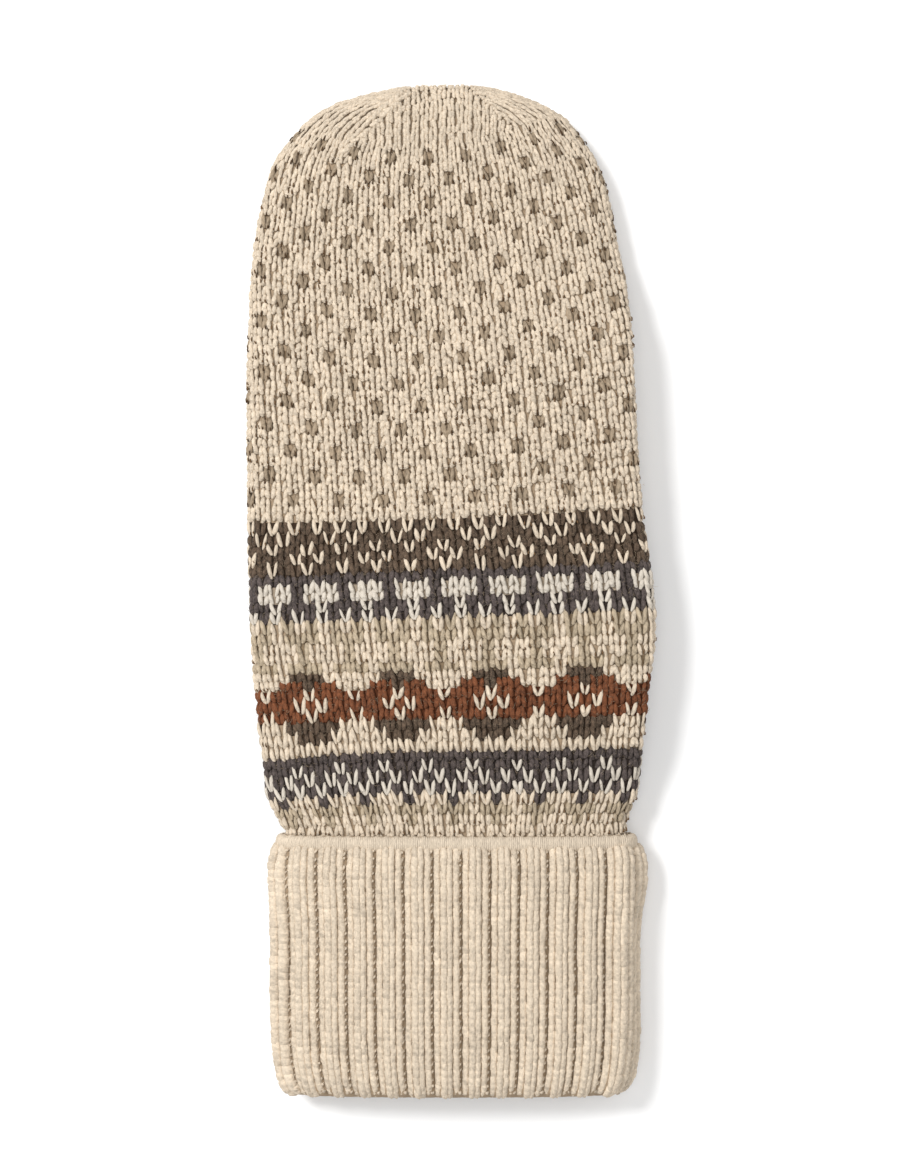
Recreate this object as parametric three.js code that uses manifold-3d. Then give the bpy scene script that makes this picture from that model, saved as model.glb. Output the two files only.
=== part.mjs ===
// Knitted mitten for the left hand, lying palm down with its thumb tucked under the palm.
// Millimetres. +X is the thumb side, +Y points to the fingertips and +Z is up.
// The origin is the middle of the bounding box, on the surface that the mitten lies on.

import * as THREE from "three";
import { mergeVertices } from "three/addons/utils/BufferGeometryUtils.js";
import Module from "manifold-3d";

// Overall sizes
const OVERALL_LENGTH = 265;
const HAND_WIDTH = 106.5;
const HAND_THICKNESS = 17;

// Knitted wall, and the air that separate pieces and layers keep
const KNIT = 2.6;
const SEAM_GAP = 0.3;
const LAYER_GAP = 0.5;

// Turned-up cuff in rib
const CUFF_HEIGHT = 67.8;
const SEAM_DEPTH = 7.5;
const RIB_COUNT = 26;
const RIB_DEPTH = 1.1;
const FIRST_VALLEY_X = 3.3;

// Thumb, measured from the crotch where it leaves the palm
const THUMB_LENGTH = 62;
const THUMB_WIDTH = 34;
const THUMB_THICKNESS = 10;
const THUMB_OPENING = 20;
const THUMB_X = 22;
const CROTCH_ABOVE_CUFF = 58;
const THUMB_SPLAY_DEG = 4;

// The palm rises over the thumb: flat for a margin around it, then fading down to the surface.
// The back follows it with a lower and wider swell.
const LIFT_MARGIN = 7;
const LIFT_FADE = 28;
const BACK_MARGIN = -4;
const BACK_FADE = 46;
const BACK_SHARE_OF_LIFT = 0.8;
const BACK_BLEND = 0.6;

// Fullness of the pillow-shaped sections: exponents of the cosine and sine, 1 is an ellipse.
// The flattening pushes the palm's side past the surface, where it is cut level.
const EDGE_POWER = 0.8;
const BACK_POWER = 0.8;
const PALM_POWER = 0.5;
const PALM_FLATTENING = 1.12;

// Crown: the share of the hand's length where it starts to close, and how far its narrowing
// end lifts off the surface, as a share of the thickness that it loses
const CROWN_START = 0.85;
const CROWN_RISE = 0.25;

// Mesh fineness
const POINTS_AROUND_HAND = 44;
const POINTS_AROUND_THUMB = 24;
const LONGEST_RIB_STEP = 1.4;
const BODY_STEP = 11;
const CROWN_STEPS = 8;
const FOLD_STEPS = 6;
const THUMB_STEPS = 10;
const FINE_SECTION_POINTS = 720;

// Worked out from the sizes above
const HALF_WIDTH = HAND_WIDTH / 2;
const HAND_REACH = OVERALL_LENGTH - CUFF_HEIGHT;
const LAYER_STACK = KNIT + LAYER_GAP;
const PALM_LIFT = THUMB_THICKNESS + SEAM_GAP;
const THUMB_SLANT = Math.tan(THREE.MathUtils.degToRad(THUMB_SPLAY_DEG));
const CUFF_EDGE_Y = CUFF_HEIGHT - OVERALL_LENGTH / 2;
const POINTS_PER_RIB = Math.max(3, Math.ceil(HAND_WIDTH / RIB_COUNT / LONGEST_RIB_STEP));
const POINTS_AROUND_CUFF = RIB_COUNT * POINTS_PER_RIB;
const WRIST_STATIONS = [-SEAM_DEPTH, -0.35 * CUFF_HEIGHT, -0.65 * CUFF_HEIGHT];

// Hand, from the cuff's free edge (0) to the fingertip (1). left and right are shares of half
// the hand's width, thick of its thickness, under of the cuff layer that lies beneath.
const HAND_SECTIONS = [
  { along: 0.000, left: 0.808, right: 0.871, thick: 0.88, under: 1.0 },
  { along: 0.024, left: 0.856, right: 0.882, thick: 0.90, under: 0.8 },
  { along: 0.046, left: 0.896, right: 0.913, thick: 0.93, under: 0.5 },
  { along: 0.083, left: 0.918, right: 0.935, thick: 0.96, under: 0.1 },
  { along: 0.139, left: 0.943, right: 0.950, thick: 0.98, under: 0.0 },
  { along: 0.205, left: 0.966, right: 0.978, thick: 1.00, under: 0.0 },
  { along: 0.260, left: 0.982, right: 0.999, thick: 1.00, under: 0.0 },
  { along: 0.300, left: 0.988, right: 0.999, thick: 1.00, under: 0.0 },
  { along: 0.345, left: 0.993, right: 0.983, thick: 1.00, under: 0.0 },
  { along: 0.400, left: 0.997, right: 0.951, thick: 1.00, under: 0.0 },
  { along: 0.465, left: 0.999, right: 0.928, thick: 1.00, under: 0.0 },
  { along: 0.629, left: 1.000, right: 0.894, thick: 1.00, under: 0.0 },
  { along: 0.724, left: 0.982, right: 0.869, thick: 0.98, under: 0.0 },
  { along: 0.780, left: 0.965, right: 0.832, thick: 0.96, under: 0.0 },
  { along: 0.855, left: 0.913, right: 0.776, thick: 0.91, under: 0.0 },
  { along: 0.894, left: 0.866, right: 0.724, thick: 0.86, under: 0.0 },
  { along: 0.931, left: 0.768, right: 0.640, thick: 0.79, under: 0.0 },
  { along: 0.950, left: 0.704, right: 0.582, thick: 0.74, under: 0.0 },
  { along: 0.969, left: 0.593, right: 0.483, thick: 0.66, under: 0.0 },
  { along: 0.987, left: 0.382, right: 0.319, thick: 0.50, under: 0.0 },
  { along: 0.996, left: 0.206, right: 0.170, thick: 0.34, under: 0.0 },
  { along: 1.000, left: 0.041, right: -0.041, thick: 0.00, under: 0.0 },
];

// Wrist inside the turned-up cuff, from its free edge (0) to its fold (1), with the same shares.
const WRIST_SECTIONS = [
  { along: 0.00, left: 0.808, right: 0.871, thick: 0.88, under: 1.0 },
  { along: 0.15, left: 0.808, right: 0.893, thick: 0.90, under: 1.0 },
  { along: 0.35, left: 0.806, right: 0.862, thick: 0.92, under: 1.0 },
  { along: 0.65, left: 0.806, right: 0.860, thick: 0.92, under: 1.0 },
  { along: 0.85, left: 0.790, right: 0.856, thick: 0.90, under: 1.0 },
  { along: 1.00, left: 0.762, right: 0.818, thick: 0.84, under: 1.0 },
];

// Thumb, from the crotch (0) to its tip (1), as shares of its width and thickness.
const THUMB_SECTIONS = [
  { along: 0.00, width: 1.00, thick: 1.00 },
  { along: 0.45, width: 1.00, thick: 1.00 },
  { along: 0.70, width: 0.93, thick: 1.00 },
  { along: 0.85, width: 0.78, thick: 0.97 },
  { along: 0.94, width: 0.56, thick: 0.88 },
  { along: 0.98, width: 0.36, thick: 0.74 },
];

// The thumb's root swings round the crotch, from the hole in the palm to the way it points.
// swing is in degrees, and reach goes from the hole's length (0) to the thumb's thickness (1).
const THUMB_ROOT = [
  { swing: 0, reach: 0.00 },
  { swing: 25, reach: 0.24 },
  { swing: 50, reach: 0.72 },
  { swing: 70, reach: 0.95 },
];

// Cubic through the rows of a table whose first column is "along"; flat beyond its ends.
function sampleTable(table, along) {
  const last = table.length - 1;
  const place = THREE.MathUtils.clamp(along, table[0].along, table[last].along);
  let low = 0;
  while (low < last - 1 && table[low + 1].along <= place) {
    low += 1;
  }
  const high = low + 1;
  const span = table[high].along - table[low].along;
  const t = (place - table[low].along) / span;
  const result = {};
  for (const column of Object.keys(table[0])) {
    const slopeAt = (row) => {
      const before = table[Math.max(row - 1, 0)];
      const after = table[Math.min(row + 1, last)];
      return (after[column] - before[column]) / (after.along - before.along);
    };
    const start = table[low][column];
    const end = table[high][column];
    const startPull = slopeAt(low) * span;
    const endPull = slopeAt(high) * span;
    const bend = 2 * (start - end) + startPull + endPull;
    const lean = 3 * (end - start) - 2 * startPull - endPull;
    result[column] = ((bend * t + lean) * t + startPull) * t + start;
  }
  return result;
}

// Section of the hand or wrist at a distance y from the cuff's free edge.
function bodySection(y) {
  const table = y >= 0 ? HAND_SECTIONS : WRIST_SECTIONS;
  const length = y >= 0 ? HAND_REACH : -CUFF_HEIGHT;
  const row = sampleTable(table, y / length);
  return {
    left: -row.left * HALF_WIDTH,
    right: row.right * HALF_WIDTH,
    thickness: row.thick * HAND_THICKNESS,
    under: Math.max(row.under, 0) * LAYER_STACK,
  };
}

// Point of a pillow-shaped section at an angle, from the right edge over the back.
function pillowPoint(halfWidth, halfHeight, angle) {
  const cosine = Math.cos(angle);
  const sine = Math.sin(angle);
  const across = Math.sign(cosine) * Math.abs(cosine) ** EDGE_POWER;
  const power = sine >= 0 ? BACK_POWER : PALM_POWER;
  const swell = Math.abs(sine) ** power;
  const up = sine >= 0 ? swell : -Math.min(1, swell * PALM_FLATTENING);
  return { x: halfWidth * across, z: halfHeight * up };
}

function fade(value, start, end) {
  return THREE.MathUtils.smoothstep(value, start, end);
}

// Swell over the thumb at x and y: 1 as far as the margin around it, 0 past the fade.
function thumbSwell(x, y, margin, fadeLength) {
  const thumbSide = THUMB_X - THUMB_WIDTH / 2 - margin;
  const cuffSide = CROTCH_ABOVE_CUFF - THUMB_OPENING - margin;
  const tipSide = CROTCH_ABOVE_CUFF + THUMB_LENGTH + margin;
  const cuffFade = Math.min(fadeLength, cuffSide);
  const across = fade(x, thumbSide - fadeLength, thumbSide);
  const rise = fade(y, cuffSide - cuffFade, cuffSide);
  const fall = 1 - fade(y, tipSide, tipSide + fadeLength);
  return across * rise * fall;
}

// Height that the thumb beneath gives the wall at x and y. The angle is the section's.
function thumbLift(x, y, angle) {
  const palm = PALM_LIFT * thumbSwell(x, y, LIFT_MARGIN, LIFT_FADE);
  const back = BACK_SHARE_OF_LIFT * PALM_LIFT * thumbSwell(x, y, BACK_MARGIN, BACK_FADE);
  const backness = Math.max(Math.sin(angle), 0) ** BACK_BLEND;
  return THREE.MathUtils.lerp(palm, back, backness);
}

// Ring of the hand's wall at y, inset from its outside. sizeY is where its section is read.
function handRing(y, sizeY, inset) {
  const section = bodySection(sizeY);
  const middle = (section.left + section.right) / 2;
  const halfWidth = Math.max((section.right - section.left) / 2 - inset, 0);
  const halfHeight = Math.max(section.thickness / 2 - inset, 0);
  const ring = [];
  for (let step = 0; step < POINTS_AROUND_HAND; step += 1) {
    const angle = (2 * Math.PI * step) / POINTS_AROUND_HAND;
    const point = pillowPoint(halfWidth, halfHeight, angle);
    const x = middle + point.x;
    const level = section.under + bodyMiddleHeight(sizeY);
    ring.push(new THREE.Vector3(x, y, level + point.z + thumbLift(x, y, angle)));
  }
  return ring;
}

// Height of a section's middle above its underside. The crown's closed end lies at half height.
function bodyMiddleHeight(y) {
  return bodySection(y).thickness / 2 + crownRise(y);
}

// The narrowing crown lifts off the surface, so that its tip ends above it.
function crownRise(y) {
  const missing = 1 - bodySection(y).thickness / HAND_THICKNESS;
  const crownShare = fade(y / HAND_REACH, CROWN_START, 1);
  return missing * crownShare * CROWN_RISE * HAND_THICKNESS;
}

// Stations of the hand from near the fingertip, where they lie close, to the wrist end.
function handStations() {
  const crownStart = CROWN_START * HAND_REACH;
  const stations = [];
  for (let step = CROWN_STEPS - 1; step > 0; step -= 1) {
    const angle = (Math.PI / 2) * (step / CROWN_STEPS);
    stations.push(crownStart + (HAND_REACH - crownStart) * Math.sin(angle));
  }
  const bodySteps = Math.round(crownStart / BODY_STEP);
  for (let step = bodySteps; step >= 0; step -= 1) {
    stations.push((crownStart * step) / bodySteps);
  }
  stations.push(-SEAM_DEPTH);
  return stations;
}

// Surface through rings of equally many points, closed by end points or by joining its ends.
function loft(rings, startPoint, endPoint) {
  const around = rings[0].length;
  const positions = rings.flat();
  const faces = [];
  const joinedEnds = startPoint === undefined;
  const bands = joinedEnds ? rings.length : rings.length - 1;
  for (let band = 0; band < bands; band += 1) {
    const near = band * around;
    const far = ((band + 1) % rings.length) * around;
    for (let step = 0; step < around; step += 1) {
      const next = (step + 1) % around;
      faces.push(near + step, near + next, far + next);
      faces.push(near + step, far + next, far + step);
    }
  }
  if (!joinedEnds) {
    const lastRing = (rings.length - 1) * around;
    const startIndex = positions.length;
    positions.push(startPoint, endPoint);
    for (let step = 0; step < around; step += 1) {
      const next = (step + 1) % around;
      faces.push(startIndex, next, step);
      faces.push(startIndex + 1, lastRing + step, lastRing + next);
    }
  }
  const geometry = new THREE.BufferGeometry().setFromPoints(positions);
  geometry.setIndex(faces);
  return faceOutward(geometry);
}

// Turns every face round if the closed surface encloses a negative volume.
function faceOutward(geometry) {
  const position = geometry.attributes.position;
  const index = geometry.index;
  const a = new THREE.Vector3();
  const b = new THREE.Vector3();
  const c = new THREE.Vector3();
  let volume = 0;
  for (let face = 0; face < index.count; face += 3) {
    a.fromBufferAttribute(position, index.getX(face));
    b.fromBufferAttribute(position, index.getX(face + 1));
    c.fromBufferAttribute(position, index.getX(face + 2));
    volume += a.dot(b.cross(c)) / 6;
  }
  if (volume < 0) {
    for (let face = 0; face < index.count; face += 3) {
      const second = index.getX(face + 1);
      index.setX(face + 1, index.getX(face + 2));
      index.setX(face + 2, second);
    }
  }
  return geometry;
}

// Hollow hand: from the tip down the outside to the wrist, and back up the inside.
function makeHandShell() {
  const stations = handStations();
  const outer = stations.map((y) => handRing(y, y, 0));
  const inner = stations.map((y) => {
    const drawIn = KNIT * fade(y, CROWN_START * HAND_REACH, HAND_REACH);
    return handRing(y - drawIn, y, KNIT);
  });
  const tipX = -HAND_SECTIONS.at(-1).left * HALF_WIDTH;
  const tipHeight = bodyMiddleHeight(HAND_REACH);
  const outerTip = new THREE.Vector3(tipX, HAND_REACH, tipHeight);
  const innerTip = new THREE.Vector3(tipX, HAND_REACH - KNIT, tipHeight);
  return loft([...outer, ...inner.reverse()], outerTip, innerTip);
}

// Ring of the thumb in its own plane: reach is its size away from the crotch.
function thumbRing(width, reach, inset, place) {
  const ring = [];
  for (let step = 0; step < POINTS_AROUND_THUMB; step += 1) {
    const angle = (2 * Math.PI * step) / POINTS_AROUND_THUMB;
    const point = pillowPoint(width / 2 - inset, reach / 2 - inset, angle);
    ring.push(place(point.x, reach / 2 - point.z));
  }
  return ring;
}

// Rings of the thumb from the hole in the palm round the crotch and along to the tip.
// The crotch is at the thumb's own origin, at the height of its upper side.
function thumbRings(inset) {
  const rings = [];
  for (const row of THUMB_ROOT) {
    const swing = THREE.MathUtils.degToRad(row.swing);
    const reach = THREE.MathUtils.lerp(THUMB_OPENING, THUMB_THICKNESS, row.reach);
    const place = (x, away) => (
      new THREE.Vector3(x, -away * Math.cos(swing), THUMB_THICKNESS - away * Math.sin(swing))
    );
    rings.push(thumbRing(THUMB_WIDTH, reach, inset, place));
  }
  const length = THUMB_LENGTH - inset;
  const lastAlong = THUMB_SECTIONS.at(-1).along;
  for (let step = 0; step <= THUMB_STEPS; step += 1) {
    const along = Math.sin((step / THUMB_STEPS) * Math.asin(lastAlong));
    const row = sampleTable(THUMB_SECTIONS, along);
    const y = along * length;
    const reach = row.thick * THUMB_THICKNESS;
    const place = (x, away) => new THREE.Vector3(x + y * THUMB_SLANT, y, reach - away);
    rings.push(thumbRing(row.width * THUMB_WIDTH, reach, inset, place));
  }
  return rings;
}

// Hollow thumb: from its tip down the outside to the hole's rim, and back up the inside.
function makeThumb() {
  const tipHeight = (THUMB_SECTIONS.at(-1).thick * THUMB_THICKNESS) / 2;
  const tipAt = (y) => new THREE.Vector3(y * THUMB_SLANT, y, tipHeight);
  const outer = thumbRings(0).reverse();
  const inner = thumbRings(KNIT);
  return loft([...outer, ...inner], tipAt(THUMB_LENGTH), tipAt(THUMB_LENGTH - KNIT));
}

// Plug through the palm's wall, in the shape of the thumb's inside at its root.
function makeThumbHolePlug() {
  const ringAt = (height) => thumbRing(THUMB_WIDTH, THUMB_OPENING, KNIT, (x, away) => (
    new THREE.Vector3(THUMB_X + x, CROTCH_ABOVE_CUFF - away, height)
  ));
  const centreY = CROTCH_ABOVE_CUFF - THUMB_OPENING / 2;
  const bottom = PALM_LIFT - KNIT / 2;
  const top = bottom + 2 * KNIT;
  const start = new THREE.Vector3(THUMB_X, centreY, bottom);
  const end = new THREE.Vector3(THUMB_X, centreY, top);
  return loft([ringAt(bottom), ringAt(top)], start, end);
}

// Points evenly spaced along a wrist section, each with its outward direction.
function evenSection(y) {
  const section = bodySection(y);
  const halfWidth = (section.right - section.left) / 2;
  const halfHeight = section.thickness / 2;
  const middle = (section.left + section.right) / 2;
  const level = section.under + halfHeight;
  const start = Math.acos(((FIRST_VALLEY_X - middle) / halfWidth) ** (1 / EDGE_POWER));
  const fine = [];
  for (let step = 0; step <= FINE_SECTION_POINTS; step += 1) {
    const angle = start + (2 * Math.PI * step) / FINE_SECTION_POINTS;
    const point = pillowPoint(halfWidth, halfHeight, angle);
    fine.push(new THREE.Vector2(middle + point.x, level + point.z));
  }
  const lengths = [0];
  for (let step = 1; step < fine.length; step += 1) {
    lengths.push(lengths[step - 1] + fine[step].distanceTo(fine[step - 1]));
  }
  const total = lengths.at(-1);
  const result = [];
  let low = 0;
  for (let step = 0; step < POINTS_AROUND_CUFF; step += 1) {
    const target = (total * step) / POINTS_AROUND_CUFF;
    while (lengths[low + 1] < target) {
      low += 1;
    }
    const share = (target - lengths[low]) / (lengths[low + 1] - lengths[low]);
    const point = fine[low].clone().lerp(fine[low + 1], share);
    const before = fine[Math.max(low - 2, 0)];
    const after = fine[Math.min(low + 3, FINE_SECTION_POINTS)];
    const tangent = after.clone().sub(before).normalize();
    result.push({ point, outward: new THREE.Vector2(tangent.y, -tangent.x) });
  }
  return result;
}

// Ring of the cuff: every rib starts with a valley, which is sunk by the given depth.
function cuffRing(y, offset, valleyDepth) {
  return evenSection(y).map(({ point, outward }, step) => {
    const sunk = step % POINTS_PER_RIB === 0 ? valleyDepth : 0;
    const moved = point.clone().addScaledVector(outward, offset - sunk);
    return new THREE.Vector3(moved.x, y, moved.y);
  });
}

// Double cuff: down the inside, round the fold, up the ribbed outside to the rounded free edge,
// and back down and up the narrow space between the two layers.
function makeCuff() {
  const foldRadius = KNIT + LAYER_GAP / 2;
  const foldY = foldRadius - CUFF_HEIGHT;
  const foldOffset = LAYER_GAP / 2;
  const innerTop = -SEAM_DEPTH - SEAM_GAP;
  const edgeRadius = KNIT / 2;
  const slotFloor = foldY + LAYER_GAP;
  const profile = [];
  const addStretch = (fromY, toY, offset, valley) => {
    const passed = WRIST_STATIONS.filter((y) => (y - fromY) * (y - toY) < 0);
    const ordered = fromY > toY ? passed : passed.reverse();
    for (const y of [fromY, ...ordered, toY]) {
      profile.push({ y, offset, valley });
    }
  };
  addStretch(innerTop, foldY, -KNIT, 0);
  for (let step = 1; step < FOLD_STEPS; step += 1) {
    const angle = (Math.PI * step) / FOLD_STEPS;
    profile.push({
      y: foldY - foldRadius * Math.sin(angle),
      offset: foldOffset - foldRadius * Math.cos(angle),
      valley: RIB_DEPTH * Math.max(0, -Math.cos(angle)),
    });
  }
  addStretch(foldY, -edgeRadius, LAYER_STACK, RIB_DEPTH);
  profile.push({ y: 0, offset: LAYER_GAP + edgeRadius, valley: RIB_DEPTH / 2 });
  addStretch(-edgeRadius, slotFloor, LAYER_GAP, 0);
  addStretch(slotFloor, innerTop, 0, 0);
  return loft(profile.map(({ y, offset, valley }) => cuffRing(y, offset, valley)));
}

const wasm = await Module();
wasm.setup();

function toSolid(geometry) {
  const merged = mergeVertices(geometry);
  const mesh = new wasm.Mesh({
    numProp: 3,
    vertProperties: new Float32Array(merged.attributes.position.array),
    triVerts: new Uint32Array(merged.index.array),
  });
  return new wasm.Manifold(mesh);
}

function toGeometry(solid) {
  const mesh = solid.getMesh();
  const geometry = new THREE.BufferGeometry();
  geometry.setAttribute("position", new THREE.BufferAttribute(mesh.vertProperties, mesh.numProp));
  geometry.setIndex(new THREE.BufferAttribute(mesh.triVerts, 1));
  return geometry;
}

function makeHand() {
  const shell = toSolid(makeHandShell());
  const plug = toSolid(makeThumbHolePlug());
  return toGeometry(shell.subtract(plug));
}

function addPiece(group, name, geometry, colour) {
  const material = new THREE.MeshStandardMaterial({ color: colour, roughness: 0.95, metalness: 0 });
  geometry.computeVertexNormals();
  const mesh = new THREE.Mesh(geometry, material);
  mesh.name = name;
  group.add(mesh);
  return mesh;
}

const mitten = new THREE.Group();
mitten.name = "mitten";

const hand = addPiece(mitten, "hand", makeHand(), "#d9c6a5");
hand.position.y = CUFF_EDGE_Y;

const thumb = addPiece(mitten, "thumb", makeThumb(), "#d2bd99");
thumb.position.set(THUMB_X, CUFF_EDGE_Y + CROTCH_ABOVE_CUFF, 0);

const cuff = addPiece(mitten, "cuff", makeCuff(), "#dfcdae");
cuff.position.y = CUFF_EDGE_Y;

export default mitten;
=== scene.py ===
"""Knitted jacquard mitten: stitches, yarns and studio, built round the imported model."""

import math

import bpy
import numpy as np
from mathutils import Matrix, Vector


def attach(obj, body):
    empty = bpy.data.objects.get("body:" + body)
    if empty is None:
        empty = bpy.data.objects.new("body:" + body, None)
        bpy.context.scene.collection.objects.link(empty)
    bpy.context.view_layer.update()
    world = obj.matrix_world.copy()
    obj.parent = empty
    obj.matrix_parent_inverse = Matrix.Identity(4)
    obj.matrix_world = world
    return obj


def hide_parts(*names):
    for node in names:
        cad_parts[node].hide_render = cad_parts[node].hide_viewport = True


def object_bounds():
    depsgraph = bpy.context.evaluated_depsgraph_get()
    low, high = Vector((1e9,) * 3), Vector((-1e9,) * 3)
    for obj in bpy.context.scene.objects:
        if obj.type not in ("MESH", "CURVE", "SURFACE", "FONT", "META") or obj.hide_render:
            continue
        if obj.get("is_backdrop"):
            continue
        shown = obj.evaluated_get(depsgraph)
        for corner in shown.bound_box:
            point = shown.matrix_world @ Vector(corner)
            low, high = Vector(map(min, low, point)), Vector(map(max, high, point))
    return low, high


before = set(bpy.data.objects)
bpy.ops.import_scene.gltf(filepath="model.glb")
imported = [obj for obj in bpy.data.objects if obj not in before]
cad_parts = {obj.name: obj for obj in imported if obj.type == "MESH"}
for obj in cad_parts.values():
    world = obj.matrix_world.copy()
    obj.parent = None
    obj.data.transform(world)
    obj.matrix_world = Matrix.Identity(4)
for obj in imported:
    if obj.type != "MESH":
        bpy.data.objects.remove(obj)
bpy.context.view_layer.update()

bl_info = {
    "name": "Jacquard mitten",
    "version": (1, 0, 0),
    "blender": (4, 5, 0),
    "location": "3D View > Sidebar > Mitten",
    "description": "Knits a jacquard mitten stitch by stitch and sets it in a plain studio",
    "category": "Object",
}

# Shapes are worked out in millimetres, and turned to metres when a mesh is made.
MM = 0.001

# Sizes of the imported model, in mm, and shares of them
HALF_WIDTH = 53.25
HAND_THICKNESS = 17.0
HAND_REACH = 197.2
KNIT = 2.6
LAYER_GAP = 0.5
LAYER_STACK = KNIT + LAYER_GAP
SEAM_GAP = 0.3
SEAM_DEPTH = 7.5
CUFF_HEIGHT = 67.8
CUFF_EDGE_Y = -64.7
RIB_COUNT = 26
RIB_DEPTH = 1.1
FIRST_VALLEY_X = 3.3
THUMB_LENGTH = 62.0
THUMB_WIDTH = 34.0
THUMB_THICKNESS = 10.0
THUMB_OPENING = 20.0
THUMB_X = 22.0
CROTCH_ABOVE_CUFF = 58.0
THUMB_SLANT = math.tan(math.radians(4))
PALM_LIFT = THUMB_THICKNESS + SEAM_GAP
LIFT_MARGIN = 7.0
LIFT_FADE = 28.0
BACK_MARGIN = -4.0
BACK_FADE = 46.0
BACK_SHARE_OF_LIFT = 0.8
BACK_BLEND = 0.6
EDGE_POWER = 0.8
BACK_POWER = 0.8
PALM_POWER = 0.5
PALM_FLATTENING = 1.12
CROWN_START = 0.85
CROWN_RISE = 0.25

# along, left, right, thick, under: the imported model's sections, as shares of its sizes
HAND_SECTIONS = np.array([
    (0.000, 0.808, 0.871, 0.88, 1.0),
    (0.024, 0.856, 0.882, 0.90, 0.8),
    (0.046, 0.896, 0.913, 0.93, 0.5),
    (0.083, 0.918, 0.935, 0.96, 0.1),
    (0.139, 0.943, 0.950, 0.98, 0.0),
    (0.205, 0.966, 0.978, 1.00, 0.0),
    (0.260, 0.982, 0.999, 1.00, 0.0),
    (0.300, 0.988, 0.999, 1.00, 0.0),
    (0.345, 0.993, 0.983, 1.00, 0.0),
    (0.400, 0.997, 0.951, 1.00, 0.0),
    (0.465, 0.999, 0.928, 1.00, 0.0),
    (0.629, 1.000, 0.894, 1.00, 0.0),
    (0.724, 0.982, 0.869, 0.98, 0.0),
    (0.780, 0.965, 0.832, 0.96, 0.0),
    (0.855, 0.913, 0.776, 0.91, 0.0),
    (0.894, 0.866, 0.724, 0.86, 0.0),
    (0.931, 0.768, 0.640, 0.79, 0.0),
    (0.950, 0.704, 0.582, 0.74, 0.0),
    (0.969, 0.593, 0.483, 0.66, 0.0),
    (0.987, 0.382, 0.319, 0.50, 0.0),
    (0.996, 0.206, 0.170, 0.34, 0.0),
    (1.000, 0.041, -0.041, 0.00, 0.0),
])
WRIST_SECTIONS = np.array([
    (0.00, 0.808, 0.871, 0.88, 1.0),
    (0.15, 0.808, 0.893, 0.90, 1.0),
    (0.35, 0.806, 0.862, 0.92, 1.0),
    (0.65, 0.806, 0.860, 0.92, 1.0),
    (0.85, 0.790, 0.856, 0.90, 1.0),
    (1.00, 0.762, 0.818, 0.84, 1.0),
])
# along, width, thick
THUMB_SECTIONS = np.array([
    (0.00, 1.00, 1.00),
    (0.45, 1.00, 1.00),
    (0.70, 0.93, 1.00),
    (0.85, 0.78, 0.97),
    (0.94, 0.56, 0.88),
    (0.98, 0.36, 0.74),
])
# swing in degrees, reach
THUMB_ROOT = np.array([(0, 0.00), (25, 0.24), (50, 0.72), (70, 0.95), (90, 1.00)])

# Knitting: 72 stitches round the hand. The columns lean, so the one over the middle of the
# back changes along the hand.
COLUMNS = 72
COLUMN_AT_CUFF = 13.47
COLUMN_LEAN = 0.0268

# Chart of the jacquard, from the cuff upward: the repeat round the hand, starting at column 0,
# and the row's height in mm. o is oat, e ecru, m marl, k khaki, b brown, s slate and r rust.
CHART = [
    ("o", 2.48), ("o", 2.63),
    ("oomo", 2.63), ("ommm", 2.63), ("ooso", 2.79), ("es", 2.85), ("se", 3.19), ("esss", 2.55),
    ("s", 2.39), ("o", 2.80),
    ("obbboooo", 2.80), ("bbbbbooo", 2.79), ("rrorrror", 2.55), ("rororrrr", 2.90),
    ("rrorrror", 2.50), ("rrbrrooo", 2.15), ("obbboooo", 2.25),
    ("ommm", 2.50), ("oomo", 2.55), ("oomo", 2.60), ("ommm", 2.80),
    ("om", 3.05), ("es", 2.70), ("esss", 2.70), ("eese", 1.80), ("eese", 2.55), ("s", 2.45),
    ("obb", 2.98), ("bbobob", 2.32), ("obb", 2.32), ("bobbbo", 2.79), ("ob", 3.10),
    ("o", 1.70), ("o", 1.70),
]
CHART_START = -2.48
DOT_ROWS = 16
DOT_REPEATS = ("ooko", "kooo")
PLAIN_ROW = 1.98
# How far the stitch above a dot is pushed up, in mm
OVER_DOT = 1.6


def sample_table(table, along):
    """Smooth values of a table's columns at shares along it."""
    start = table[:, 0]
    last = len(start) - 1
    place = np.clip(along, start[0], start[-1])
    low = np.clip(np.searchsorted(start, place, side="right") - 1, 0, last - 1)
    before = np.maximum(np.arange(last + 1) - 1, 0)
    after = np.minimum(np.arange(last + 1) + 1, last)
    slope = (table[after] - table[before]) / (start[after] - start[before])[:, None]
    span = (start[low + 1] - start[low])[..., None]
    t = (place - start[low])[..., None] / span
    here, there = table[low], table[low + 1]
    pull, push = slope[low] * span, slope[low + 1] * span
    bend = 2 * (here - there) + pull + push
    lean = 3 * (there - here) - 2 * pull - push
    return ((bend * t + lean) * t + pull) * t + here


def fade(value, start, end):
    """Smooth step from 0 at start to 1 at end."""
    t = np.clip((value - start) / (end - start), 0, 1)
    return t * t * (3 - 2 * t)


def body_section(y):
    """Left edge, right edge, thickness and underside of the hand or wrist at y."""
    hand = sample_table(HAND_SECTIONS, y / HAND_REACH)
    wrist = sample_table(WRIST_SECTIONS, -y / CUFF_HEIGHT)
    row = np.where((y >= 0)[..., None], hand, wrist)
    return (
        -row[..., 1] * HALF_WIDTH,
        row[..., 2] * HALF_WIDTH,
        row[..., 3] * HAND_THICKNESS,
        np.maximum(row[..., 4], 0) * LAYER_STACK,
    )


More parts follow.
